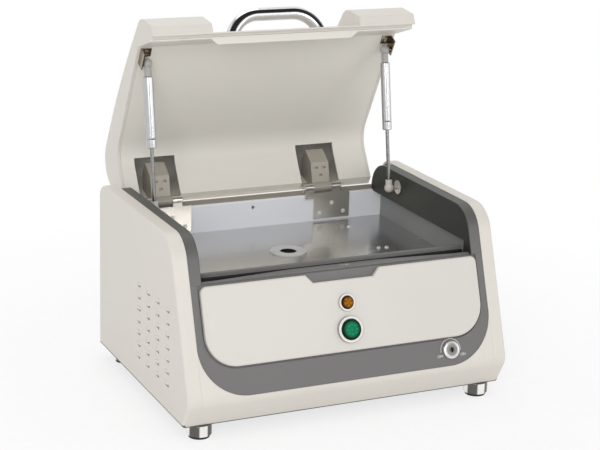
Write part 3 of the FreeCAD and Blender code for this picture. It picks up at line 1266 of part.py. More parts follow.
def optics_block(top):
    """Cast block with the beam's bore and the detector's bore, and the detector in it."""
    side = "2 * optics_half"
    mass = box("optics_mass", ("-optics_half", "aperture_y - optics_half", f"{top} - optics_height"),
               (side, side, "optics_height"))
    beam = cylinder("beam_bore", "beam_radius", "2 * optics_height",
                    ("0", "aperture_y", f"{top} - 1.5 * optics_height"))
    side_bore = cylinder("detector_bore", "detector_radius + fit", "optics_half + 5",
                         ("-optics_half - 5", "aperture_y", f"{top} - detector_drop"), ALONG, "90")
    keep(cut("optics_block", mass, [beam, side_bore]))
    flange, can = "detector_radius + 6", "detector_radius + 3"
    detector = turned("detector", [
        ("0", "-detector_length"), (can, "-detector_length", "2"), (can, "-4"), (flange, "-4"), (flange, "0"),
        ("detector_radius", "0"), ("detector_radius", "detector_reach", "2"), ("0", "detector_reach")])
    keep(place(detector, "-optics_half", "aperture_y", f"{top} - detector_drop", ALONG, "90"))


def finned_box(label, corner, size, fins):
    """Enclosed supply with cooling fins along its top."""
    x, y, z = corner
    pieces = [box(label + "_case", corner, size)]
    for i in range(fins):
        left = f"{x} + {size[0]} * {i + 0.5} / {fins} - fin_thick / 2"
        pieces.append(box(f"{label}_fin_{i}", (left, f"{y} + fin_margin", f"{z} + {size[2]}"),
                          ("fin_thick", f"{size[1]} - 2 * fin_margin", "fin_height")))
    return keep(join(label, pieces))


def main_board():
    """Circuit board on four posts, with four large parts."""
    left = f"(works_gap + 10 - {SHELL_IN})"
    face = f"{FLOOR} + board_lift"
    pieces = [box("board_sheet", (left, "board_y", face), ("board_width", "board_length", "board_thick"))]
    far_x, far_y = "board_width - board_edge", "board_length - board_edge"
    for i, (x, y) in enumerate([(x, y) for x in ("board_edge", far_x) for y in ("board_edge", far_y)]):
        pieces.append(cylinder(f"board_post_{i}", "board_post", "board_lift",
                               (f"{left} + {x}", f"board_y + {y}", FLOOR)))
    chips = [("20", "15", "30", "30", "3"), ("65", "20", "22", "12", "3"),
             ("65", "45", "40", "20", "9"), ("20", "60", "18", "25", "12")]
    for i, (x, y, *size) in enumerate(chips):
        place = (f"{left} + {x}", f"board_y + {y}", f"{face} + board_thick")
        pieces.append(box(f"board_chip_{i}", place, size))
    return keep(join("main_board", pieces))


fan()
power_inlet()
power_rocker()
UNDER_DECK = f"({DECK} - sheet)"
optics_stand(UNDER_DECK)
xray_tube(UNDER_DECK)
filter_wheel(UNDER_DECK)
optics_block(UNDER_DECK)
WORKS_Y = f"({FRONT} + works_back)"
finned_box("hv_supply", (f"(works_gap - {SHELL_IN})", WORKS_Y, FLOOR),
           ("hv_width", "hv_length", "hv_height"), 6)
finned_box("power_supply", (f"({SHELL_IN} - works_gap - supply_width)", WORKS_Y, FLOOR),
           ("supply_width", "supply_length", "supply_height"), 8)
main_board()


# Check and write every piece
doc.recompute()
broken = [item.Name for item in doc.Objects if "Invalid" in item.State or "Error" in item.State]
if broken:
    raise RuntimeError(f"not built: {broken}")
os.makedirs("parts", exist_ok=True)
for piece in finished:
    if piece.Shape.isNull() or not piece.Shape.isValid():
        raise RuntimeError(f"{piece.Label} is not a valid shape")
    piece.Shape.exportStep(f"parts/{piece.Label}.step")
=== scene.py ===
import math

import bmesh
import bpy
from mathutils import Matrix, Vector


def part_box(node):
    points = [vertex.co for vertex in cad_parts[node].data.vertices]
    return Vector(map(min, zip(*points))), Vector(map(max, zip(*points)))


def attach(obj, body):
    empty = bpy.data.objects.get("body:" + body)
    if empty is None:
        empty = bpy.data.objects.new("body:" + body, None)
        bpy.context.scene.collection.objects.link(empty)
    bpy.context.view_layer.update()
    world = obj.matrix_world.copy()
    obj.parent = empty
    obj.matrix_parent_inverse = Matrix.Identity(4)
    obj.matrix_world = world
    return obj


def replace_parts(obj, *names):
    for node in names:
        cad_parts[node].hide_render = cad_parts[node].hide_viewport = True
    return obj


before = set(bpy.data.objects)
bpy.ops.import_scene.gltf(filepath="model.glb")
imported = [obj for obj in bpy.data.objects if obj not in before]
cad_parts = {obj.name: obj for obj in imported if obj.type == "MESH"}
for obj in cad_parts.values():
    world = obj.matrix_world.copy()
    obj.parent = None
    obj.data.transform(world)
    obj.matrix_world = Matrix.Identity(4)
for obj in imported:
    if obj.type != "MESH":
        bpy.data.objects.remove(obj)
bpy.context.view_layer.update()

# Sizes shared with the solids, in metres; the front's lean is an angle
HALF_DEPTH = 0.206
SIDE_WALL = 0.275
BOTTOM_ROUND = 0.005
FRONT_BREAK = 0.066
LEAN = math.radians(19.6)
PANEL_PROUD = 0.004
BEZEL_RECESS = 0.001
LAMP_UP = 0.1246
LAMP_RADIUS = 0.0104
BUTTON_UP = 0.0826
BUTTON_FACE = 0.0136
BUTTON_RADIUS = 0.0161
KEY_ACROSS = 0.175
KEY_UP = 0.0295
DECK = 0.202
BORE_RADIUS = 0.013
LEAF_FACE = 0.1945
LEAF_LOW = 0.207
LEAF_LEFTS = (0.115, -0.183)
LEAF_SCREWS = ((0.011, 0.010), (0.034, 0.027), (0.057, 0.010))
DECK_SCREWS = ((0.152, 0.018), (0.166, 0.016), (0.160, 0.145), (-0.160, 0.145), (-0.160, -0.060),
               (0.160, -0.060))
REAR_SHOULDER = 0.2467
REAR_SHEET = 0.003
FAN_CENTRE = (-0.150, 0.110)
FAN_SCREW_REACH = 0.039

# Sizes of the fine pieces and the colour changes made here, in metres
# Height of the painted shade line along the front's bottom edge
FRONT_SHADE_HEIGHT = 0.0020
COLOUR_MARGIN = 0.0005
CHAMBER_SCREW_RADIUS = 0.004
REAR_SCREW_RADIUS = 0.0035
REAR_SCREW_MARGIN = 0.012
INK = 0.00015
OFF_PLACE = (0.1555, 0.0206)
ON_PLACE = (0.1965, 0.0199)


def tone(red, green, blue):
    """Linear colour of a display colour given in 0 to 255."""
    parts = [value / 255 for value in (red, green, blue)]
    return tuple(((part + 0.055) / 1.055) ** 2.4 for part in parts) + (1.0,)


CREAM = tone(222, 217, 208)
CREAM_EDGE = tone(236, 232, 225)
LINER_CREAM = tone(229, 225, 215)
# Painted shade on the rear panel's inner face
REAR_INNER_SHADE = tone(150, 143, 131)
# Painted shade along the housing's bottom edge
BOTTOM_SHADE_GREY = tone(96, 92, 86)
PANEL_WHITE = tone(215, 211, 204)
TRIM_GREY = tone(110, 108, 107)
# Painted shade on the rails' tops
RAIL_TOP_SHADE = tone(80, 81, 76)
RAIL_DARK = tone(42, 44, 38)
# Chamber side sheets: a pale coat darkened as painted shade
CHAMBER_SHADE_GREY = tone(140, 142, 141)
SCREEN_PALE = tone(243, 244, 248)
RING_PALE = tone(206, 206, 204)
# Painted shade down the aperture ring's bore
RING_BORE_SHADE = tone(18, 18, 17)
BEZEL_WHITE = tone(236, 234, 228)
# Painted shade on the bezels' outer walls
BEZEL_WALL_SHADE = tone(150, 147, 142)
CHROME = tone(236, 236, 238)
# Painted reflection on the handle's chrome
HANDLE_REFLECTION_DARK = tone(150, 150, 153)
# Painted reflection bands on the feet
FOOT_REFLECTION_BRIGHT = tone(250, 249, 246)
FOOT_REFLECTION_DARK = tone(104, 100, 96)
# Key switch rim and face; the rim's brightness is partly painted reflection
KEY_RIM = tone(218, 217, 214)
KEY_FACE = tone(130, 129, 126)
KEY_CORE = tone(64, 64, 62)
AMBER = tone(170, 112, 26)
AMBER_DEEP = tone(48, 22, 2)
GREEN = tone(4, 122, 82)
GREEN_DEEP = tone(0, 34, 22)
GREEN_PALE = tone(20, 142, 100)
PRINT_PALE = tone(236, 234, 230)
WHITE = (1.0, 1.0, 1.0, 1.0)


# Places on the leaning front
def front_place(across, up, out):
    """A spot on the leaning front: across it, up its slope and out from it."""
    y = -HALF_DEPTH + up * math.sin(LEAN) - out * math.cos(LEAN)
    z = FRONT_BREAK + up * math.cos(LEAN) + out * math.sin(LEAN)
    return Vector((across, y, z))


def front_frame(across, up, out):
    """Frame on the leaning front with x across, y up the slope and z outwards."""
    turn = Matrix.Rotation(math.radians(90) - LEAN, 4, "X")
    return Matrix.Translation(front_place(across, up, out)) @ turn


# Node helpers
def feed(tree, socket, value):
    """Link another node's output to the socket, or set a plain value on it."""
    if isinstance(value, bpy.types.NodeSocket):
        tree.links.new(value, socket)
    else:
        socket.default_value = value


def add_node(tree, kind, values=None, **settings):
    """Add a node, set its properties, then feed its inputs by name."""
    node = tree.nodes.new(kind)
    for name, value in settings.items():
        setattr(node, name, value)
    for name, value in (values or {}).items():
        feed(tree, node.inputs[name], value)
    return node


def maths(tree, operation, first, second=0.0):
    """One sum on numbers."""
    node = add_node(tree, "ShaderNodeMath", operation=operation)
    feed(tree, node.inputs[0], first)
    feed(tree, node.inputs[1], second)
    return node.outputs[0]


def vector_maths(tree, operation, first, second=(0.0, 0.0, 0.0)):
    """One sum on vectors; gives the outputs Vector and Value."""
    node = add_node(tree, "ShaderNodeVectorMath", operation=operation)
    feed(tree, node.inputs[0], first)
    feed(tree, node.inputs[1], second)
    return node.outputs


def blend(tree, factor, first, second, kind="MIX"):
    """Mix two colours."""
    node = add_node(tree, "ShaderNodeMix", data_type="RGBA", blend_type=kind)
    feed(tree, node.inputs[0], factor)
    feed(tree, node.inputs[6], first)
    feed(tree, node.inputs[7], second)
    return node.outputs[2]


def remap(tree, value, low, high, to_low, to_high):
    """Carry a value from one range to another and hold it at the ends."""
    limits = {"Value": value, "From Min": low, "From Max": high, "To Min": to_low, "To Max": to_high}
    return add_node(tree, "ShaderNodeMapRange", limits).outputs[0]


def noise(tree, where, scale, detail):
    values = {"Vector": where, "Scale": scale, "Detail": detail}
    return add_node(tree, "ShaderNodeTexNoise", values).outputs[0]


def object_place(tree):
    return add_node(tree, "ShaderNodeTexCoord").outputs["Object"]


def surface_way(tree):
    """The way that the surface faces."""
    return add_node(tree, "ShaderNodeNewGeometry").outputs["Normal"]


def parts_of(tree, vector):
    """A vector's X, Y and Z."""
    return add_node(tree, "ShaderNodeSeparateXYZ", {"Vector": vector}).outputs


def front_polar(tree, across, up):
    """Distance from, and angle round, an axis that stands square on the leaning front."""
    placing = {"Vector": object_place(tree), "Location": front_place(across, up, 0.0),
               "Rotation": (math.radians(90) - LEAN, 0.0, 0.0)}
    local = add_node(tree, "ShaderNodeMapping", placing, vector_type="TEXTURE")
    parts = parts_of(tree, local.outputs[0])
    x_square = maths(tree, "MULTIPLY", parts["X"], parts["X"])
    y_square = maths(tree, "MULTIPLY", parts["Y"], parts["Y"])
    reach = maths(tree, "SQRT", maths(tree, "ADD", x_square, y_square))
    return reach, maths(tree, "ARCTAN2", parts["Y"], parts["X"])


def new_group(name, inputs, outputs):
    """Start a shader group with named sockets; gives its tree, its inputs and its outputs."""
    tree = bpy.data.node_groups.new(name, "ShaderNodeTree")
    for label, (kind, value) in inputs.items():
        socket = tree.interface.new_socket(label, in_out="INPUT", socket_type=kind)
        socket.default_value = value
    for label, kind in outputs.items():
        tree.interface.new_socket(label, in_out="OUTPUT", socket_type=kind)
    given = tree.nodes.new("NodeGroupInput").outputs
    result = tree.nodes.new("NodeGroupOutput").inputs
    return tree, given, result


COLOUR = "NodeSocketColor"
NUMBER = "NodeSocketFloat"
DIRECTION = "NodeSocketVector"
SURFACE = {"Colour": COLOUR, "Roughness": NUMBER, "Normal": DIRECTION}


# Shared surface effects
def soft_edges(tree, radius):
    """Normal that rounds off sharp edges."""
    return add_node(tree, "ShaderNodeBevel", {"Radius": radius}, samples=4).outputs[0]


def coat_group():
    """Fine stipple, slow mottle and rubbed edges of paint and moulded plastic."""
    tree, given, result = new_group(
        "stippled_coat",
        {"Colour": (COLOUR, CREAM), "Edge Colour": (COLOUR, CREAM), "Roughness": (NUMBER, 0.4),
         "Stipple Scale": (NUMBER, 1500.0), "Stipple Depth": (NUMBER, 0.1), "Mottle": (NUMBER, 0.05),
         "Edge Radius": (NUMBER, 0.001)},
        SURFACE)
    where = object_place(tree)
    mottle = maths(tree, "SUBTRACT", noise(tree, where, 9.0, 5.0), 0.5)
    shade = maths(tree, "ADD", maths(tree, "MULTIPLY", mottle, given["Mottle"]), 1.0)
    shaded = blend(tree, 1.0, given["Colour"], shade, "MULTIPLY")
    soft_edge = soft_edges(tree, given["Edge Radius"])
    facing = vector_maths(tree, "DOT_PRODUCT", soft_edge, surface_way(tree))["Value"]
    edge = remap(tree, facing, 0.995, 0.8, 0.0, 1.0)
    rubbed = maths(tree, "MULTIPLY", edge, noise(tree, where, 60.0, 3.0))
    feed(tree, result["Colour"], blend(tree, rubbed, shaded, given["Edge Colour"]))
    grain = noise(tree, where, given["Stipple Scale"], 2.0)
    spread = remap(tree, grain, 0.3, 0.7, -0.06, 0.06)
    feed(tree, result["Roughness"], maths(tree, "ADD", given["Roughness"], spread))
    bump = add_node(tree, "ShaderNodeBump", {
        "Strength": given["Stipple Depth"], "Height": grain, "Distance": 0.0004, "Normal": soft_edge})
    feed(tree, result["Normal"], bump.outputs[0])
    return tree


def brush_group():
    """Fine lines of ground or drawn metal, stretched along one direction."""
    tree, given, result = new_group(
        "brushed_lines",
        {"Colour": (COLOUR, CREAM), "Roughness": (NUMBER, 0.3), "Stretch": (DIRECTION, (1.0, 1.0, 1.0)),
         "Line Scale": (NUMBER, 900.0), "Line Depth": (NUMBER, 0.1), "Edge Radius": (NUMBER, 0.0006)},
        SURFACE)
    where = object_place(tree)
    stretched = vector_maths(tree, "MULTIPLY", where, given["Stretch"])["Vector"]
    lines = noise(tree, stretched, given["Line Scale"], 3.0)
    line_shade = remap(tree, lines, 0.3, 0.7, 0.93, 1.0)
    cloud_shade = remap(tree, noise(tree, where, 7.0, 4.0), 0.3, 0.7, -0.04, 0.04)
    shade = maths(tree, "ADD", line_shade, cloud_shade)
    feed(tree, result["Colour"], blend(tree, 1.0, given["Colour"], shade, "MULTIPLY"))
    spread = remap(tree, lines, 0.3, 0.7, -0.05, 0.08)
    feed(tree, result["Roughness"], maths(tree, "ADD", given["Roughness"], spread))
    soft_edge = soft_edges(tree, given["Edge Radius"])
    bump = add_node(tree, "ShaderNodeBump", {
        "Strength": given["Line Depth"], "Height": lines, "Distance": 0.0002, "Normal": soft_edge})
    feed(tree, result["Normal"], bump.outputs[0])
    return tree


COAT = coat_group()
BRUSH = brush_group()


# Materials
def new_material(name):
    material = bpy.data.materials.new(name)
    material.use_nodes = True
    tree = material.node_tree
    return material, tree, tree.nodes["Principled BSDF"]


def surfaced(name, group, values):
    """Material whose colour, roughness and normal come from a shared effect."""
    material, tree, shader = new_material(name)
    surface = add_node(tree, "ShaderNodeGroup", node_tree=group)
    for label, value in values.items():
        feed(tree, surface.inputs[label], value)
    feed(tree, shader.inputs["Base Color"], surface.outputs["Colour"])
    feed(tree, shader.inputs["Roughness"], surface.outputs["Roughness"])
    feed(tree, shader.inputs["Normal"], surface.outputs["Normal"])
    return material, shader


def coated(name, colour, edge, roughness, stipple=1500.0, depth=0.1, mottle=0.05, radius=0.001, shine=0.5):
    """Painted sheet or moulded plastic."""
    material, shader = surfaced(name, COAT, {
        "Colour": colour, "Edge Colour": edge, "Roughness": roughness, "Stipple Scale": stipple,
        "Stipple Depth": depth, "Mottle": mottle, "Edge Radius": radius})
    shader.inputs["Specular IOR Level"].default_value = shine
    return material


def powder_coated(name, colour, edge, roughness):
    """Coat with the housing's coarser stipple."""
    return coated(name, colour, edge, roughness, 1100.0, 0.12, 0.05)


# Scale of the metal's lines on each axis; a small value draws them out along it
ALL_WAYS = (1.0, 1.0, 1.0)
ALONG_X = (0.02, 1.0, 1.0)
ALONG_Z = (1.0, 1.0, 0.05)
PARTLY_ALONG_Z = (1.0, 1.0, 0.3)


def metal(name, colour, roughness, stretch, scale=900.0, depth=0.1, radius=0.0006, mirror=1.0):
    """Ground, drawn or plated metal; a low mirror share gives a duller, blasted skin."""
    material, shader = surfaced(name, BRUSH, {
        "Colour": colour, "Roughness": roughness, "Stretch": stretch, "Line Scale": scale,
        "Line Depth": depth, "Edge Radius": radius})
    shader.inputs["Metallic"].default_value = mirror
    return material


def recolour(material, share, first, second):
    """Give a coated or metal material a colour that goes from the first to the second with a share."""
    tree = material.node_tree
    surface = next(node for node in tree.nodes if node.type == "GROUP")
    feed(tree, surface.inputs["Colour"], blend(tree, share, first, second))


def bottom_shade_material():
    """Cream coat that ends in a line of painted shade along the housing's bottom edge, where its underside
    falls into shade.
    """
    material = powder_coated("cream_bottom_shade", CREAM, CREAM_EDGE, 0.42)
    tree = material.node_tree
    parts = parts_of(tree, object_place(tree))
    from_middle = maths(tree, "ABSOLUTE", parts["X"])
    at_side = maths(tree, "GREATER_THAN", from_middle, SIDE_WALL - BOTTOM_ROUND)
    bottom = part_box("side_shell_left")[0].z
    limit = remap(tree, at_side, 0.0, 1.0, bottom + FRONT_SHADE_HEIGHT, bottom + BOTTOM_ROUND)
    # Painted shade: the coat turns dark grey below this limit
    recolour(material, maths(tree, "GREATER_THAN", parts["Z"], limit), BOTTOM_SHADE_GREY, CREAM)
    return material


def rear_material():
    """Rear panel, cream outside, with painted shade on its inner face, which stands in the shade of the
    lid.
    """
    material = powder_coated("rear_cream", CREAM, tone(232, 228, 220), 0.42)
    tree = material.node_tree
    back = parts_of(tree, object_place(tree))["Y"]
    outside = maths(tree, "GREATER_THAN", back, HALF_DEPTH - REAR_SHEET / 2)
    # Painted shade on the inner face, which the lid keeps in shade
    recolour(material, outside, REAR_INNER_SHADE, CREAM)
    return material


def rail_material():
    """Rail skin: dark on its inner face, darker on top with painted shade that sets in towards the back,
    and as pale as the band on its front leg.
    """
    material = powder_coated("rail_grey", TRIM_GREY, tone(132, 130, 126), 0.45)
    tree = material.node_tree
    parts = parts_of(tree, object_place(tree))
    inner_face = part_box("bezel_rail_right")[0].x + 2 * COLOUR_MARGIN
    from_middle = maths(tree, "ABSOLUTE", parts["X"])
    # Painted shade: the rail darkens from its front leg back along its top
    top = blend(tree, remap(tree, parts["Y"], -0.16, -0.08, 0.0, 1.0), TRIM_GREY, RAIL_TOP_SHADE)
    recolour(material, maths(tree, "GREATER_THAN", from_middle, inner_face), RAIL_DARK, top)
    return material


def ring_material():
    """Pale ring whose bore is painted near black as painted shade down the hole."""
    material = coated("ring_coat", RING_PALE, tone(226, 226, 224), 0.34, 1800.0, 0.06, 0.06, 0.0005)
    tree = material.node_tree
    low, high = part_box("aperture_ring")
    offset = vector_maths(tree, "SUBTRACT", object_place(tree), (low + high) / 2)["Vector"]
    flat = vector_maths(tree, "MULTIPLY", offset, (1.0, 1.0, 0.0))["Vector"]
    reach = vector_maths(tree, "LENGTH", flat)["Value"]
    beyond = maths(tree, "GREATER_THAN", reach, BORE_RADIUS + COLOUR_MARGIN)
    recolour(material, beyond, RING_BORE_SHADE, RING_PALE)
    return material


def bezel_material(name, node, up):
    """White ring whose outer wall is greyer with painted shade."""
    material = coated(name, BEZEL_WHITE, tone(244, 243, 240), 0.3, 2000.0, 0.04, 0.03, 0.0004)
    tree = material.node_tree
    low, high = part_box(node)
    reach, _ = front_polar(tree, 0.0, up)
    # Painted shade on the outer wall
    wall = maths(tree, "GREATER_THAN", reach, (high.x - low.x) / 2 - COLOUR_MARGIN)
    recolour(material, wall, BEZEL_WHITE, BEZEL_WALL_SHADE)
    return material


def handle_material():
    """Chrome with a painted reflection: a darker band along its upper front, set by the way the surface
    faces, stands for a dark ceiling mirrored in it.
    """
    material = metal("handle_chrome", CHROME, 0.06, ALL_WAYS, 300.0, 0.01)
    tree = material.node_tree
    parts = parts_of(tree, surface_way(tree))
    above = remap(tree, parts["Z"], 0.26, 0.34, 0.0, 1.0)
    below = remap(tree, parts["Z"], 0.76, 0.84, 1.0, 0.0)
    ahead = remap(tree, parts["Y"], 0.0, 0.2, 1.0, 0.0)
    inward = remap(tree, parts["X"], -0.72, -0.60, 0.0, 1.0)
    level = maths(tree, "MULTIPLY", above, below)
    front = maths(tree, "MULTIPLY", ahead, inward)
    recolour(material, maths(tree, "MULTIPLY", level, front), CHROME, HANDLE_REFLECTION_DARK)
    return material


def foot_material():
    """Polished feet with painted reflections: four bright bands with dark bands between, set by the way
    the surface faces, stand for a lit room mirrored in them.
    """
    bands = 4.0
    material = metal("foot_steel", FOOT_REFLECTION_BRIGHT, 0.14, ALONG_Z, 900.0, 0.04)
    tree = material.node_tree
    parts = parts_of(tree, surface_way(tree))
    angle = maths(tree, "ARCTAN2", parts["Y"], parts["X"])
    wave = maths(tree, "COSINE", maths(tree, "MULTIPLY", angle, bands))
    recolour(material, remap(tree, wave, -0.05, 0.45, 0.0, 1.0), FOOT_REFLECTION_DARK, FOOT_REFLECTION_BRIGHT)
    return material


def key_material():
    """Key switch with a bright rim round a duller face; the rim's brightness is partly a painted
    reflection of its raised shape.
    """
    material = metal("key_steel", KEY_RIM, 0.36, ALL_WAYS, 1200.0, 0.05, 0.0004)
    tree = material.node_tree
    reach, _ = front_polar(tree, KEY_ACROSS, KEY_UP)
    # Partly painted reflection: the rim is brighter than the face
    recolour(material, remap(tree, reach, 0.0085, 0.0115, 0.0, 1.0), KEY_FACE, KEY_RIM)
    return material


def plug_material():
    """Key plug with a dark core round its slot."""
    material = metal("plug_steel", KEY_FACE, 0.32, ALL_WAYS, 1200.0, 0.06, 0.0004)
    tree = material.node_tree
    reach, _ = front_polar(tree, KEY_ACROSS, KEY_UP)
    recolour(material, remap(tree, reach, 0.0030, 0.0052, 0.0, 1.0), KEY_CORE, KEY_FACE)
    return material


def lens(name, colour, deep, up, radius, facets):
    """Tinted plastic that darkens towards its rim, with a moulded sunburst under the surface whose light
    and dark spokes are painted highlight and painted shade, and a faint painted glow.
    """
    spokes = 5.0
    material, tree, shader = new_material(name)
    reach, angle = front_polar(tree, 0.0, up)
    # Painted highlight and shade: light and dark spokes stand for the shine of moulded facets
    rays = maths(tree, "SINE", maths(tree, "MULTIPLY", angle, spokes))
    facet_shine = remap(tree, rays, -0.6, 0.8, 0.0, facets)
    outwards = remap(tree, reach, 0.0, radius, 0.2, 1.0)
    rim = remap(tree, reach, radius * 0.55, radius * 0.85, 0.0, 1.0)
    depth = maths(tree, "MAXIMUM", rim, maths(tree, "MULTIPLY", facet_shine, outwards))
    tint = blend(tree, depth, colour, deep)
    feed(tree, shader.inputs["Base Color"], tint)
    # The tint also feeds a faint emission: a painted glow in the plastic
    feed(tree, shader.inputs["Emission Color"], tint)
    shader.inputs["Emission Strength"].default_value = 0.1
    shader.inputs["Roughness"].default_value = 0.3
    shader.inputs["Specular IOR Level"].default_value = 0.08
    return material


def board_material():
    """Solder mask with fine copper tracks under it."""
    material, tree, shader = new_material("solder_mask")
    where = object_place(tree)
    tracks = add_node(tree, "ShaderNodeTexBrick", {
        "Vector": where, "Scale": 60.0, "Mortar Size": 0.03, "Color1": tone(16, 78, 44),
        "Color2": tone(20, 88, 50), "Mortar": tone(70, 120, 60)})
    feed(tree, shader.inputs["Base Color"], tracks.outputs["Color"])
    feed(tree, shader.inputs["Roughness"], remap(tree, noise(tree, where, 80.0, 3.0), 0.3, 0.7, 0.3, 0.45))
    return material


# Painted sheet
cream = powder_coated("cream_powder_coat", CREAM, CREAM_EDGE, 0.42)
cream_bottom_shade = bottom_shade_material()
rear_cream = rear_material()
liner_cream = powder_coated("liner_powder_coat", LINER_CREAM, tone(224, 220, 212), 0.45)
# The chamber's side sheets take a pale coat darkened with painted shade, as they stand in the rails' shade
chamber_shade_grey = coated("chamber_shade_grey", CHAMBER_SHADE_GREY, tone(164, 165, 164), 0.42, 1400.0, 0.1, 0.06)
base_grey = coated("base_grey", tone(96, 97, 98), tone(120, 120, 120), 0.5, 1400.0, 0.2, 0.1)
screen_coat = coated("screen_coat", SCREEN_PALE, tone(236, 237, 240), 0.36, 1400.0, 0.08, 0.04)
ring_coat = ring_material()

# Moulded plastic, rubber and print
panel_white = coated("panel_white", PANEL_WHITE, tone(240, 238, 233), 0.38, 1600.0, 0.08, 0.03, 0.0012)
trim_grey = coated("trim_grey", TRIM_GREY, tone(150, 148, 146), 0.45, 1300.0, 0.2, 0.08)
sill_grey = coated("sill_grey", tone(118, 117, 115), tone(156, 154, 152), 0.45, 1300.0, 0.2, 0.08)
rail_grey = rail_material()
lamp_white = bezel_material("lamp_white", "lamp_bezel", LAMP_UP)
button_white = bezel_material("button_white", "button_bezel", BUTTON_UP)
socket_white = coated("socket_white", tone(206, 203, 192), tone(224, 222, 214), 0.4, 2000.0, 0.08, 0.08,
                      0.0005)
socket_grey = coated("socket_grey", tone(168, 165, 161), tone(190, 188, 184), 0.4, 2000.0, 0.08, 0.08,
                     0.0005)
black_plastic = coated("black_plastic", tone(34, 34, 35), tone(70, 70, 70), 0.5, 1800.0, 0.2, 0.1, 0.0005)
rubber = coated("black_rubber", tone(26, 26, 27), tone(48, 48, 48), 0.7, 900.0, 0.3, 0.15, 0.0008)
print_ink = coated("pale_print", PRINT_PALE, PRINT_PALE, 0.5, 2500.0, 0.05, 0.05, 0.0001)
amber_lens = lens("amber_lens", AMBER, AMBER_DEEP, LAMP_UP, LAMP_RADIUS, 0.95)
green_lens = lens("green_lens", GREEN, GREEN_DEEP, BUTTON_UP, BUTTON_RADIUS, 0.3)
green_dot = coated("green_dot", GREEN_PALE, tone(60, 170, 126), 0.3, 2000.0, 0.05, 0.1, 0.0003, 0.12)
solder_mask = board_material()

# Metal
deck_steel = metal("deck_steel", tone(208, 208, 208), 0.2, ALONG_X, 900.0, 0.04, mirror=0.9)
hinge_steel = metal("hinge_steel", tone(216, 211, 202), 0.26, PARTLY_ALONG_Z, 4000.0, 0.01, mirror=0.9)
block_steel = metal("block_steel", tone(176, 170, 158), 0.5, ALL_WAYS, 1200.0, 0.04, mirror=0.3)
bracket_steel = metal("bracket_steel", tone(158, 148, 132), 0.2, ALL_WAYS, 900.0, 0.05)
chrome = metal("chrome", CHROME, 0.06, ALL_WAYS, 300.0, 0.01)
handle_chrome = handle_material()
strut_silver = metal("strut_silver", tone(190, 190, 192), 0.2, ALONG_Z, 900.0, 0.03)
rod_steel = metal("rod_steel", tone(138, 138, 138), 0.22, ALONG_Z, 900.0, 0.05)
foot_steel = foot_material()
key_steel = key_material()
plug_steel = plug_material()
nickel = metal("satin_nickel", tone(206, 203, 196), 0.28, ALL_WAYS, 1200.0, 0.06, 0.0004, mirror=0.8)
cap_steel = metal("cap_steel", tone(240, 238, 232), 0.3, ALL_WAYS, 1200.0, 0.05, 0.0003, mirror=0.3)
black_anodised = metal("black_anodised", tone(30, 31, 29), 0.5, ALL_WAYS, 900.0, 0.1, mirror=0.4)
aluminium = metal("cast_aluminium", tone(178, 180, 184), 0.42, ALL_WAYS, 500.0, 0.15)

FINISHES = {
    cream: ["lid_shell"],
    cream_bottom_shade: ["side_shell_left", "side_shell_right", "front_apron"],
    rear_cream: ["rear_panel"],
    liner_cream: ["lid_liner"],
    panel_white: ["front_panel"],
    trim_grey: ["bezel_front"],
    sill_grey: ["front_sill"],
    rail_grey: ["bezel_rail_left", "bezel_rail_right"],
    chamber_shade_grey: ["chamber_side_left", "chamber_side_right"],
    base_grey: ["base_plate"],
    screen_coat: ["chamber_rear_wall"],
    deck_steel: ["deck_plate"],
    ring_coat: ["aperture_ring"],
    hinge_steel: ["hinge_leaf_left", "hinge_leaf_right"],
    block_steel: ["hinge_block_left", "hinge_block_right"],
    chrome: ["hinge_pins"],
    handle_chrome: ["handle"],
    foot_steel: ["feet"],
    black_anodised: ["optics_block"],
    strut_silver: ["strut_tube_left", "strut_tube_right"],
    rod_steel: ["strut_rod_left", "strut_rod_right"],
    socket_white: ["strut_foot_socket_left", "strut_foot_socket_right"],
    socket_grey: ["strut_top_socket_left", "strut_top_socket_right"],
    bracket_steel: ["strut_bracket_left", "strut_bracket_right"],
    nickel: ["strut_foot_stud_left", "strut_foot_stud_right", "interlock_sensor", "chamber_screws",
             "detector"],
    key_steel: ["key_switch_body"],
    plug_steel: ["key_plug"],
    lamp_white: ["lamp_bezel"],
    button_white: ["button_bezel"],
    amber_lens: ["lamp_lens"],
    green_lens: ["start_button"],
    rubber: ["sill_gasket", "foot_pads"],
    black_plastic: ["fan_frame", "fan_rotor", "power_inlet", "power_rocker"],
    aluminium: ["optics_stand", "filter_wheel", "filter_motor", "hv_supply", "power_supply", "xray_tube"],
    solder_mask: ["main_board"],
}
for finish, names in FINISHES.items():
    for name in names:
        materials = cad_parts[name].data.materials
        materials.clear()
        materials.append(finish)


# Mesh helpers
def add_object(name, data):
    """Put a mesh, curve, light or camera in the scene."""
    item = bpy.data.objects.new(name, data)
    bpy.context.scene.collection.objects.link(item)
    return item


def plain_mesh(item):
    """An object's final shape as a mesh of its own; the object goes."""
    evaluated = item.evaluated_get(bpy.context.evaluated_depsgraph_get())
    mesh = bpy.data.meshes.new_from_object(evaluated)
    bpy.data.objects.remove(item)
    return mesh


def shape_mesh(name, shape):
    """Turn a worked shape into a mesh."""
    mesh = bpy.data.meshes.new(name)
    shape.to_mesh(mesh)
    shape.free()
    return mesh


def finished_piece(name, mesh, material, body):
    """Put a mesh in the scene as a piece that moves with a body."""
    piece = add_object(name, mesh)
    mesh.materials.clear()
    mesh.materials.append(material)
    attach(piece, body)
    return piece


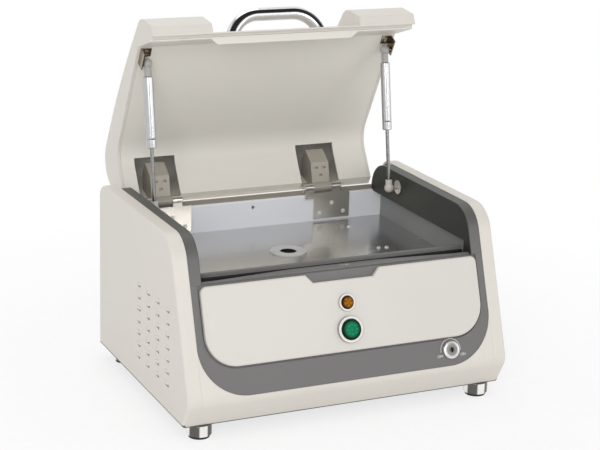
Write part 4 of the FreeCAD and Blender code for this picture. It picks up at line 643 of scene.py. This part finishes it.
def new_tree(name, sizes):
    """Start a Geometry Nodes tree that takes spots and named sizes and gives a mesh."""
    tree = bpy.data.node_groups.new(name, "GeometryNodeTree")
    tree.interface.new_socket("Spots", in_out="INPUT", socket_type="NodeSocketGeometry")
    for label in sizes:
        tree.interface.new_socket(label, in_out="INPUT", socket_type=NUMBER)
    tree.interface.new_socket("Finish", in_out="INPUT", socket_type="NodeSocketMaterial")
    tree.interface.new_socket("Mesh", in_out="OUTPUT", socket_type="NodeSocketGeometry")
    given = tree.nodes.new("NodeGroupInput").outputs
    return tree, given


def close_tree(tree, given, instances):
    """End a tree in real geometry with its finish."""
    real = add_node(tree, "GeometryNodeRealizeInstances", {"Geometry": instances})
    dressing = {"Geometry": real.outputs[0], "Material": given["Finish"]}
    dressed = add_node(tree, "GeometryNodeSetMaterial", dressing)
    result = tree.nodes.new("NodeGroupOutput")
    feed(tree, result.inputs["Mesh"], dressed.outputs[0])


def grow(name, tree, spots, sizes, material):
    """Run a tree on a mesh of spots and return the plain mesh that it makes."""
    seed = add_object(name + "_spots", spots)
    modifier = seed.modifiers.new("grow", "NODES")
    modifier.node_group = tree
    values = {**sizes, "Finish": material}
    for item in tree.interface.items_tree:
        if item.in_out == "INPUT" and item.name in values:
            modifier[item.identifier] = values[item.name]
    return plain_mesh(seed)


def spot_mesh(name, spots):
    """Loose points, each with the way it faces."""
    mesh = bpy.data.meshes.new(name)
    mesh.from_pydata([spot for spot, _ in spots], [], [])
    facing = mesh.attributes.new("facing", "FLOAT_VECTOR", "POINT")
    for entry, (_, way) in zip(facing.data, spots):
        entry.vector = way
    return mesh


# Screws
def screw_tree():
    """Button-head screws with a hexagon socket, one at each spot."""
    crown_share = 0.62
    socket_share = 1.2
    tree, given = new_tree("socket_screws", ["Head Radius", "Head Height", "Socket Radius"])
    crown = maths(tree, "MULTIPLY", given["Head Radius"], crown_share)
    head = add_node(tree, "GeometryNodeMeshCone", {
        "Vertices": 24, "Side Segments": 1, "Fill Segments": 1, "Radius Top": crown,
        "Radius Bottom": given["Head Radius"], "Depth": given["Head Height"]})
    depth = maths(tree, "MULTIPLY", given["Head Height"], socket_share)
    bit = add_node(tree, "GeometryNodeMeshCylinder", {
        "Vertices": 6, "Radius": given["Socket Radius"], "Depth": depth})
    lift = add_node(tree, "ShaderNodeCombineXYZ", {"Z": given["Head Height"]})
    lifting = {"Geometry": bit.outputs["Mesh"], "Translation": lift.outputs[0]}
    raised = add_node(tree, "GeometryNodeTransform", lifting)
    drilled = add_node(tree, "GeometryNodeMeshBoolean", operation="DIFFERENCE")
    feed(tree, drilled.inputs["Mesh 1"], head.outputs["Mesh"])
    feed(tree, drilled.inputs["Mesh 2"], raised.outputs[0])
    way = add_node(tree, "GeometryNodeInputNamedAttribute", {"Name": "facing"}, data_type="FLOAT_VECTOR")
    turn = add_node(tree, "FunctionNodeAlignRotationToVector", {"Vector": way.outputs[0]}, axis="Z")
    points = add_node(tree, "GeometryNodeMeshToPoints", {"Mesh": given["Spots"]})
    placed = add_node(tree, "GeometryNodeInstanceOnPoints", {
        "Points": points.outputs[0], "Instance": drilled.outputs[0], "Rotation": turn.outputs[0]})
    close_tree(tree, given, placed.outputs[0])
    return tree


SCREWS = screw_tree()
TOWARDS_FRONT = (0.0, -1.0, 0.0)
TOWARDS_BACK = (0.0, 1.0, 0.0)
UPWARDS = (0.0, 0.0, 1.0)


def chamber_screw_spots():
    """Three on each hinge leaf and six on the deck."""
    spots = []
    for left in LEAF_LEFTS:
        for across, up in LEAF_SCREWS:
            spots.append(((left + across, LEAF_FACE, LEAF_LOW + up), TOWARDS_FRONT))
    for across, back in DECK_SCREWS:
        spots.append(((across, back, DECK), UPWARDS))
    return spots


def rear_screw_spots():
    """Round the rear panel's edge and at the fan's corners."""
    low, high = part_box("rear_panel")
    spots = []
    for across in (low.x + REAR_SCREW_MARGIN, 0.0, high.x - REAR_SCREW_MARGIN):
        for up in (low.z + REAR_SCREW_MARGIN, REAR_SHOULDER - REAR_SCREW_MARGIN):
            spots.append(((across, HALF_DEPTH, up), TOWARDS_BACK))
    for side in (-FAN_SCREW_REACH, FAN_SCREW_REACH):
        for end in (-FAN_SCREW_REACH, FAN_SCREW_REACH):
            place = (FAN_CENTRE[0] + side, HALF_DEPTH, FAN_CENTRE[1] + end)
            spots.append((place, TOWARDS_BACK))
    return spots


def screws(name, spots, radius, body):
    sizes = {"Head Radius": radius, "Head Height": radius * 0.55, "Socket Radius": radius * 0.45}
    mesh = grow(name, SCREWS, spot_mesh(name + "_places", spots), sizes, cap_steel)
    return finished_piece(name, mesh, cap_steel, body)


chamber_caps = screws("chamber_cap_screws", chamber_screw_spots(), CHAMBER_SCREW_RADIUS, "base")
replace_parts(chamber_caps, "chamber_screws")
screws("rear_cap_screws", rear_screw_spots(), REAR_SCREW_RADIUS, "base")


# Start button's moulded dots
def dot_tree():
    """A ring of low domes round a middle one."""
    tree, given = new_tree("dot_ring", ["Ring Radius", "Dot Radius", "Dots"])
    circle = {"Vertices": given["Dots"], "Radius": given["Ring Radius"]}
    ring = add_node(tree, "GeometryNodeMeshCircle", circle)
    both = add_node(tree, "GeometryNodeJoinGeometry")
    feed(tree, both.inputs[0], ring.outputs[0])
    feed(tree, both.inputs[0], given["Spots"])
    points = add_node(tree, "GeometryNodeMeshToPoints", {"Mesh": both.outputs[0]})
    ball = add_node(tree, "GeometryNodeMeshIcoSphere", {"Radius": given["Dot Radius"], "Subdivisions": 3})
    flattening = {"Geometry": ball.outputs["Mesh"], "Scale": (1.0, 1.0, 0.4)}
    dome = add_node(tree, "GeometryNodeTransform", flattening)
    placing = {"Points": points.outputs[0], "Instance": dome.outputs[0]}
    dots = add_node(tree, "GeometryNodeInstanceOnPoints", placing)
    close_tree(tree, given, dots.outputs[0])
    return tree


def button_dots():
    middle = spot_mesh("button_middle", [((0.0, 0.0, 0.0), UPWARDS)])
    sizes = {"Ring Radius": 0.0078, "Dot Radius": 0.0019, "Dots": 8}
    mesh = grow("button_dots", dot_tree(), middle, sizes, green_dot)
    mesh.transform(front_frame(0.0, BUTTON_UP, BUTTON_FACE))
    return finished_piece("button_dots", mesh, green_dot, "button")


button_dots()


# Lamp lens with moulded flutes
def fluted_lens():
    """Domed lens whose skin rises and falls in flutes towards the rim."""
    flutes = 12
    steps = flutes * 6
    rings = 10
    rise = 0.0035
    flute_depth = 0.0006
    skirt_drop = Vector((0.0, 0.0, -0.003))
    seat = PANEL_PROUD + 0.004
    shape = bmesh.new()
    crown = shape.verts.new((0.0, 0.0, rise))
    previous = None
    for ring in range(1, rings + 1):
        part = ring / rings
        row = []
        for step in range(steps):
            angle = 2 * math.pi * step / steps
            wave = math.cos(flutes * angle) * flute_depth * math.sin(math.pi * part)
            height = rise * math.sqrt(max(0.0, 1 - part ** 2)) + wave
            row.append(shape.verts.new((LAMP_RADIUS * part * math.cos(angle),
                                        LAMP_RADIUS * part * math.sin(angle), height)))
        for step in range(steps):
            after = (step + 1) % steps
            if previous is None:
                shape.faces.new((crown, row[step], row[after]))
            else:
                shape.faces.new((previous[step], row[step], row[after], previous[after]))
        previous = row
    skirt = [shape.verts.new(vert.co + skirt_drop) for vert in previous]
    for step in range(steps):
        after = (step + 1) % steps
        shape.faces.new((previous[step], skirt[step], skirt[after], previous[after]))
    shape.faces.new(list(reversed(skirt)))
    bmesh.ops.recalc_face_normals(shape, faces=shape.faces)
    shape.transform(front_frame(0.0, LAMP_UP, seat))
    mesh = shape_mesh("fluted_lens", shape)
    mesh.shade_smooth()
    return finished_piece("fluted_lens", mesh, amber_lens, "base")


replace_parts(fluted_lens(), "lamp_lens")


# Key switch marks
def raised_print(name, shape, across, up):
    """Give flat faces the thickness of ink and lay them on the grey band."""
    shape.normal_update()
    flat = list(shape.faces)
    raised = bmesh.ops.extrude_face_region(shape, geom=flat)
    moved = [item for item in raised["geom"] if isinstance(item, bmesh.types.BMVert)]
    bmesh.ops.translate(shape, verts=moved, vec=(0.0, 0.0, INK))
    bmesh.ops.recalc_face_normals(shape, faces=shape.faces)
    shape.transform(front_frame(across, up, -BEZEL_RECESS))
    return finished_piece(name, shape_mesh(name, shape), print_ink, "base")


def arc_band():
    """Printed arc over the key switch from its off mark to its on mark."""
    inner = 0.0172
    outer = 0.0180
    start = math.radians(-8)
    end = math.radians(188)
    steps = 64
    shape = bmesh.new()
    rows = []
    for step in range(steps + 1):
        angle = start + (end - start) * step / steps
        way = Vector((math.cos(angle), math.sin(angle), 0.0))
        rows.append((shape.verts.new(way * inner), shape.verts.new(way * outer)))
    for (inner_a, outer_a), (inner_b, outer_b) in zip(rows, rows[1:]):
        shape.faces.new((inner_a, outer_a, outer_b, inner_b))
    return raised_print("key_arc", shape, KEY_ACROSS, KEY_UP)


def word(text, across, up):
    """Small printed word beside the key switch."""
    name = "word_" + text.lower()
    curve = bpy.data.curves.new(name, "FONT")
    curve.body = text
    curve.size = 0.0060
    curve.align_x = "CENTER"
    curve.align_y = "CENTER"
    flat = plain_mesh(add_object(name + "_flat", curve))
    shape = bmesh.new()
    shape.from_mesh(flat)
    bmesh.ops.remove_doubles(shape, verts=shape.verts, dist=0.00001)
    return raised_print(name, shape, across, up)


arc_band()
word("OFF", *OFF_PLACE)
word("ON", *ON_PLACE)


# Studio
def soft_light(name, place, target, width, height, power):
    """Rectangular light that points at a target; the power is in watts."""
    data = bpy.data.lights.new(name, "AREA")
    data.shape = "RECTANGLE"
    data.size = width
    data.size_y = height
    data.energy = power
    lamp = add_object(name, data)
    lamp.location = place
    way = Vector(target) - lamp.location
    lamp.rotation_euler = way.to_track_quat("-Z", "Y").to_euler()
    return lamp


def window_light():
    """Bright window at front right that shows only as a shine on faces that mirror it."""
    window = soft_light("window_light", (0.62, -2.0, 0.875), (-0.15, 0.19, 0.22), 0.36, 0.60, 4.6)
    window.visible_diffuse = False
    window.visible_camera = False


def seen_directly(tree):
    """1 for rays from the camera, a reflection or glass; then 1 for rays from the camera alone."""
    rays = add_node(tree, "ShaderNodeLightPath").outputs
    both = maths(tree, "MAXIMUM", rays["Is Camera Ray"], rays["Is Glossy Ray"])
    return maths(tree, "MAXIMUM", both, rays["Is Transmission Ray"]), rays["Is Camera Ray"]


def world_light():
    """Even pale light; reflections see a white room, its dark ceiling and a screen at front right."""
    screen_way = (0.41, -0.86, 0.31)
    world = bpy.data.worlds.new("studio")
    bpy.context.scene.world = world
    world.use_nodes = True
    tree = world.node_tree
    tree.nodes.clear()
    seen, from_camera = seen_directly(tree)
    way = add_node(tree, "ShaderNodeTexCoord").outputs["Generated"]
    parts = parts_of(tree, way)
    overhead = remap(tree, parts["Z"], 0.20, 0.32, 0.0, 0.93)
    ahead = remap(tree, parts["Y"], 0.05, 0.25, 1.0, 0.0)
    walls = remap(tree, parts["Y"], 0.25, 0.45, 1.0, 0.84)
    ceiling = maths(tree, "SUBTRACT", walls, maths(tree, "MULTIPLY", overhead, ahead))
    apart = vector_maths(tree, "DISTANCE", way, screen_way)["Value"]
    screen = remap(tree, apart, 0.12, 0.26, 0.8, 0.0)
    room = maths(tree, "ADD", ceiling, screen)
    view = blend(tree, from_camera, room, WHITE)
    level = blend(tree, seen, (0.62, 0.62, 0.63, 1.0), view)
    light = add_node(tree, "ShaderNodeBackground", {"Color": level, "Strength": 1.0})
    result = add_node(tree, "ShaderNodeOutputWorld")
    feed(tree, result.inputs["Surface"], light.outputs[0])


def floor_material():
    """White floor that keeps a soft shadow near the object and fades to the backdrop."""
    material = bpy.data.materials.new("studio_floor")
    material.use_nodes = True
    tree = material.node_tree
    tree.nodes.clear()
    seen, _ = seen_directly(tree)
    reach = vector_maths(tree, "LENGTH", object_place(tree))["Value"]
    fade = remap(tree, reach, 0.45, 1.0, 0.75, 1.0)
    speck = remap(tree, noise(tree, object_place(tree), 40.0, 3.0), 0.3, 0.7, 0.9, 0.94)
    matt = add_node(tree, "ShaderNodeBsdfDiffuse", {"Color": speck})
    white = add_node(tree, "ShaderNodeEmission", {"Color": WHITE, "Strength": 1.0})
    mixed = add_node(tree, "ShaderNodeMixShader")
    feed(tree, mixed.inputs[0], maths(tree, "MULTIPLY", seen, fade))
    feed(tree, mixed.inputs[1], matt.outputs[0])
    feed(tree, mixed.inputs[2], white.outputs[0])
    result = add_node(tree, "ShaderNodeOutputMaterial")
    feed(tree, result.inputs["Surface"], mixed.outputs[0])
    return material


def studio_floor():
    half = 6.0
    corners = [(-half, -half, 0.0), (half, -half, 0.0), (half, half, 0.0), (-half, half, 0.0)]
    mesh = bpy.data.meshes.new("studio_floor")
    mesh.from_pydata(corners, [], [(0, 1, 2, 3)])
    mesh.materials.append(floor_material())
    floor = add_object("studio_floor", mesh)


def camera():
    """The photograph's viewpoint: turned from the front, tipped down and rolled a little."""
    yaw = math.radians(25.496)
    pitch = math.radians(16.5)
    roll = math.radians(1.868)
    place = (-1.12298, -2.34664, 1.03236)
    ahead = Vector((math.sin(yaw) * math.cos(pitch), math.cos(yaw) * math.cos(pitch), -math.sin(pitch)))
    right = Vector((math.cos(yaw), -math.sin(yaw), 0.0))
    up = right.cross(ahead)
    rolled_right = right * math.cos(roll) + up * math.sin(roll)
    rolled_up = up * math.cos(roll) - right * math.sin(roll)
    data = bpy.data.cameras.new("camera")
    data.lens = 100.68
    data.sensor_width = 36.0
    viewer = add_object("camera", data)
    turn = Matrix((rolled_right, rolled_up, -ahead)).transposed().to_4x4()
    viewer.matrix_world = Matrix.Translation(place) @ turn
    bpy.context.scene.camera = viewer


world_light()
studio_floor()
soft_light("key_light", (-1.7, -2.6, 1.6), (0.0, 0.0, 0.3), 1.6, 1.6, 37.0)
soft_light("fill_light", (2.2, -1.6, 1.0), (0.0, 0.0, 0.3), 1.4, 1.4, 8.0)
soft_light("top_light", (0.0, 1.4, 2.6), (0.0, 0.1, 0.5), 2.0, 2.0, 18.0)
window_light()
camera()
bpy.context.scene.view_settings.view_transform = "Standard"
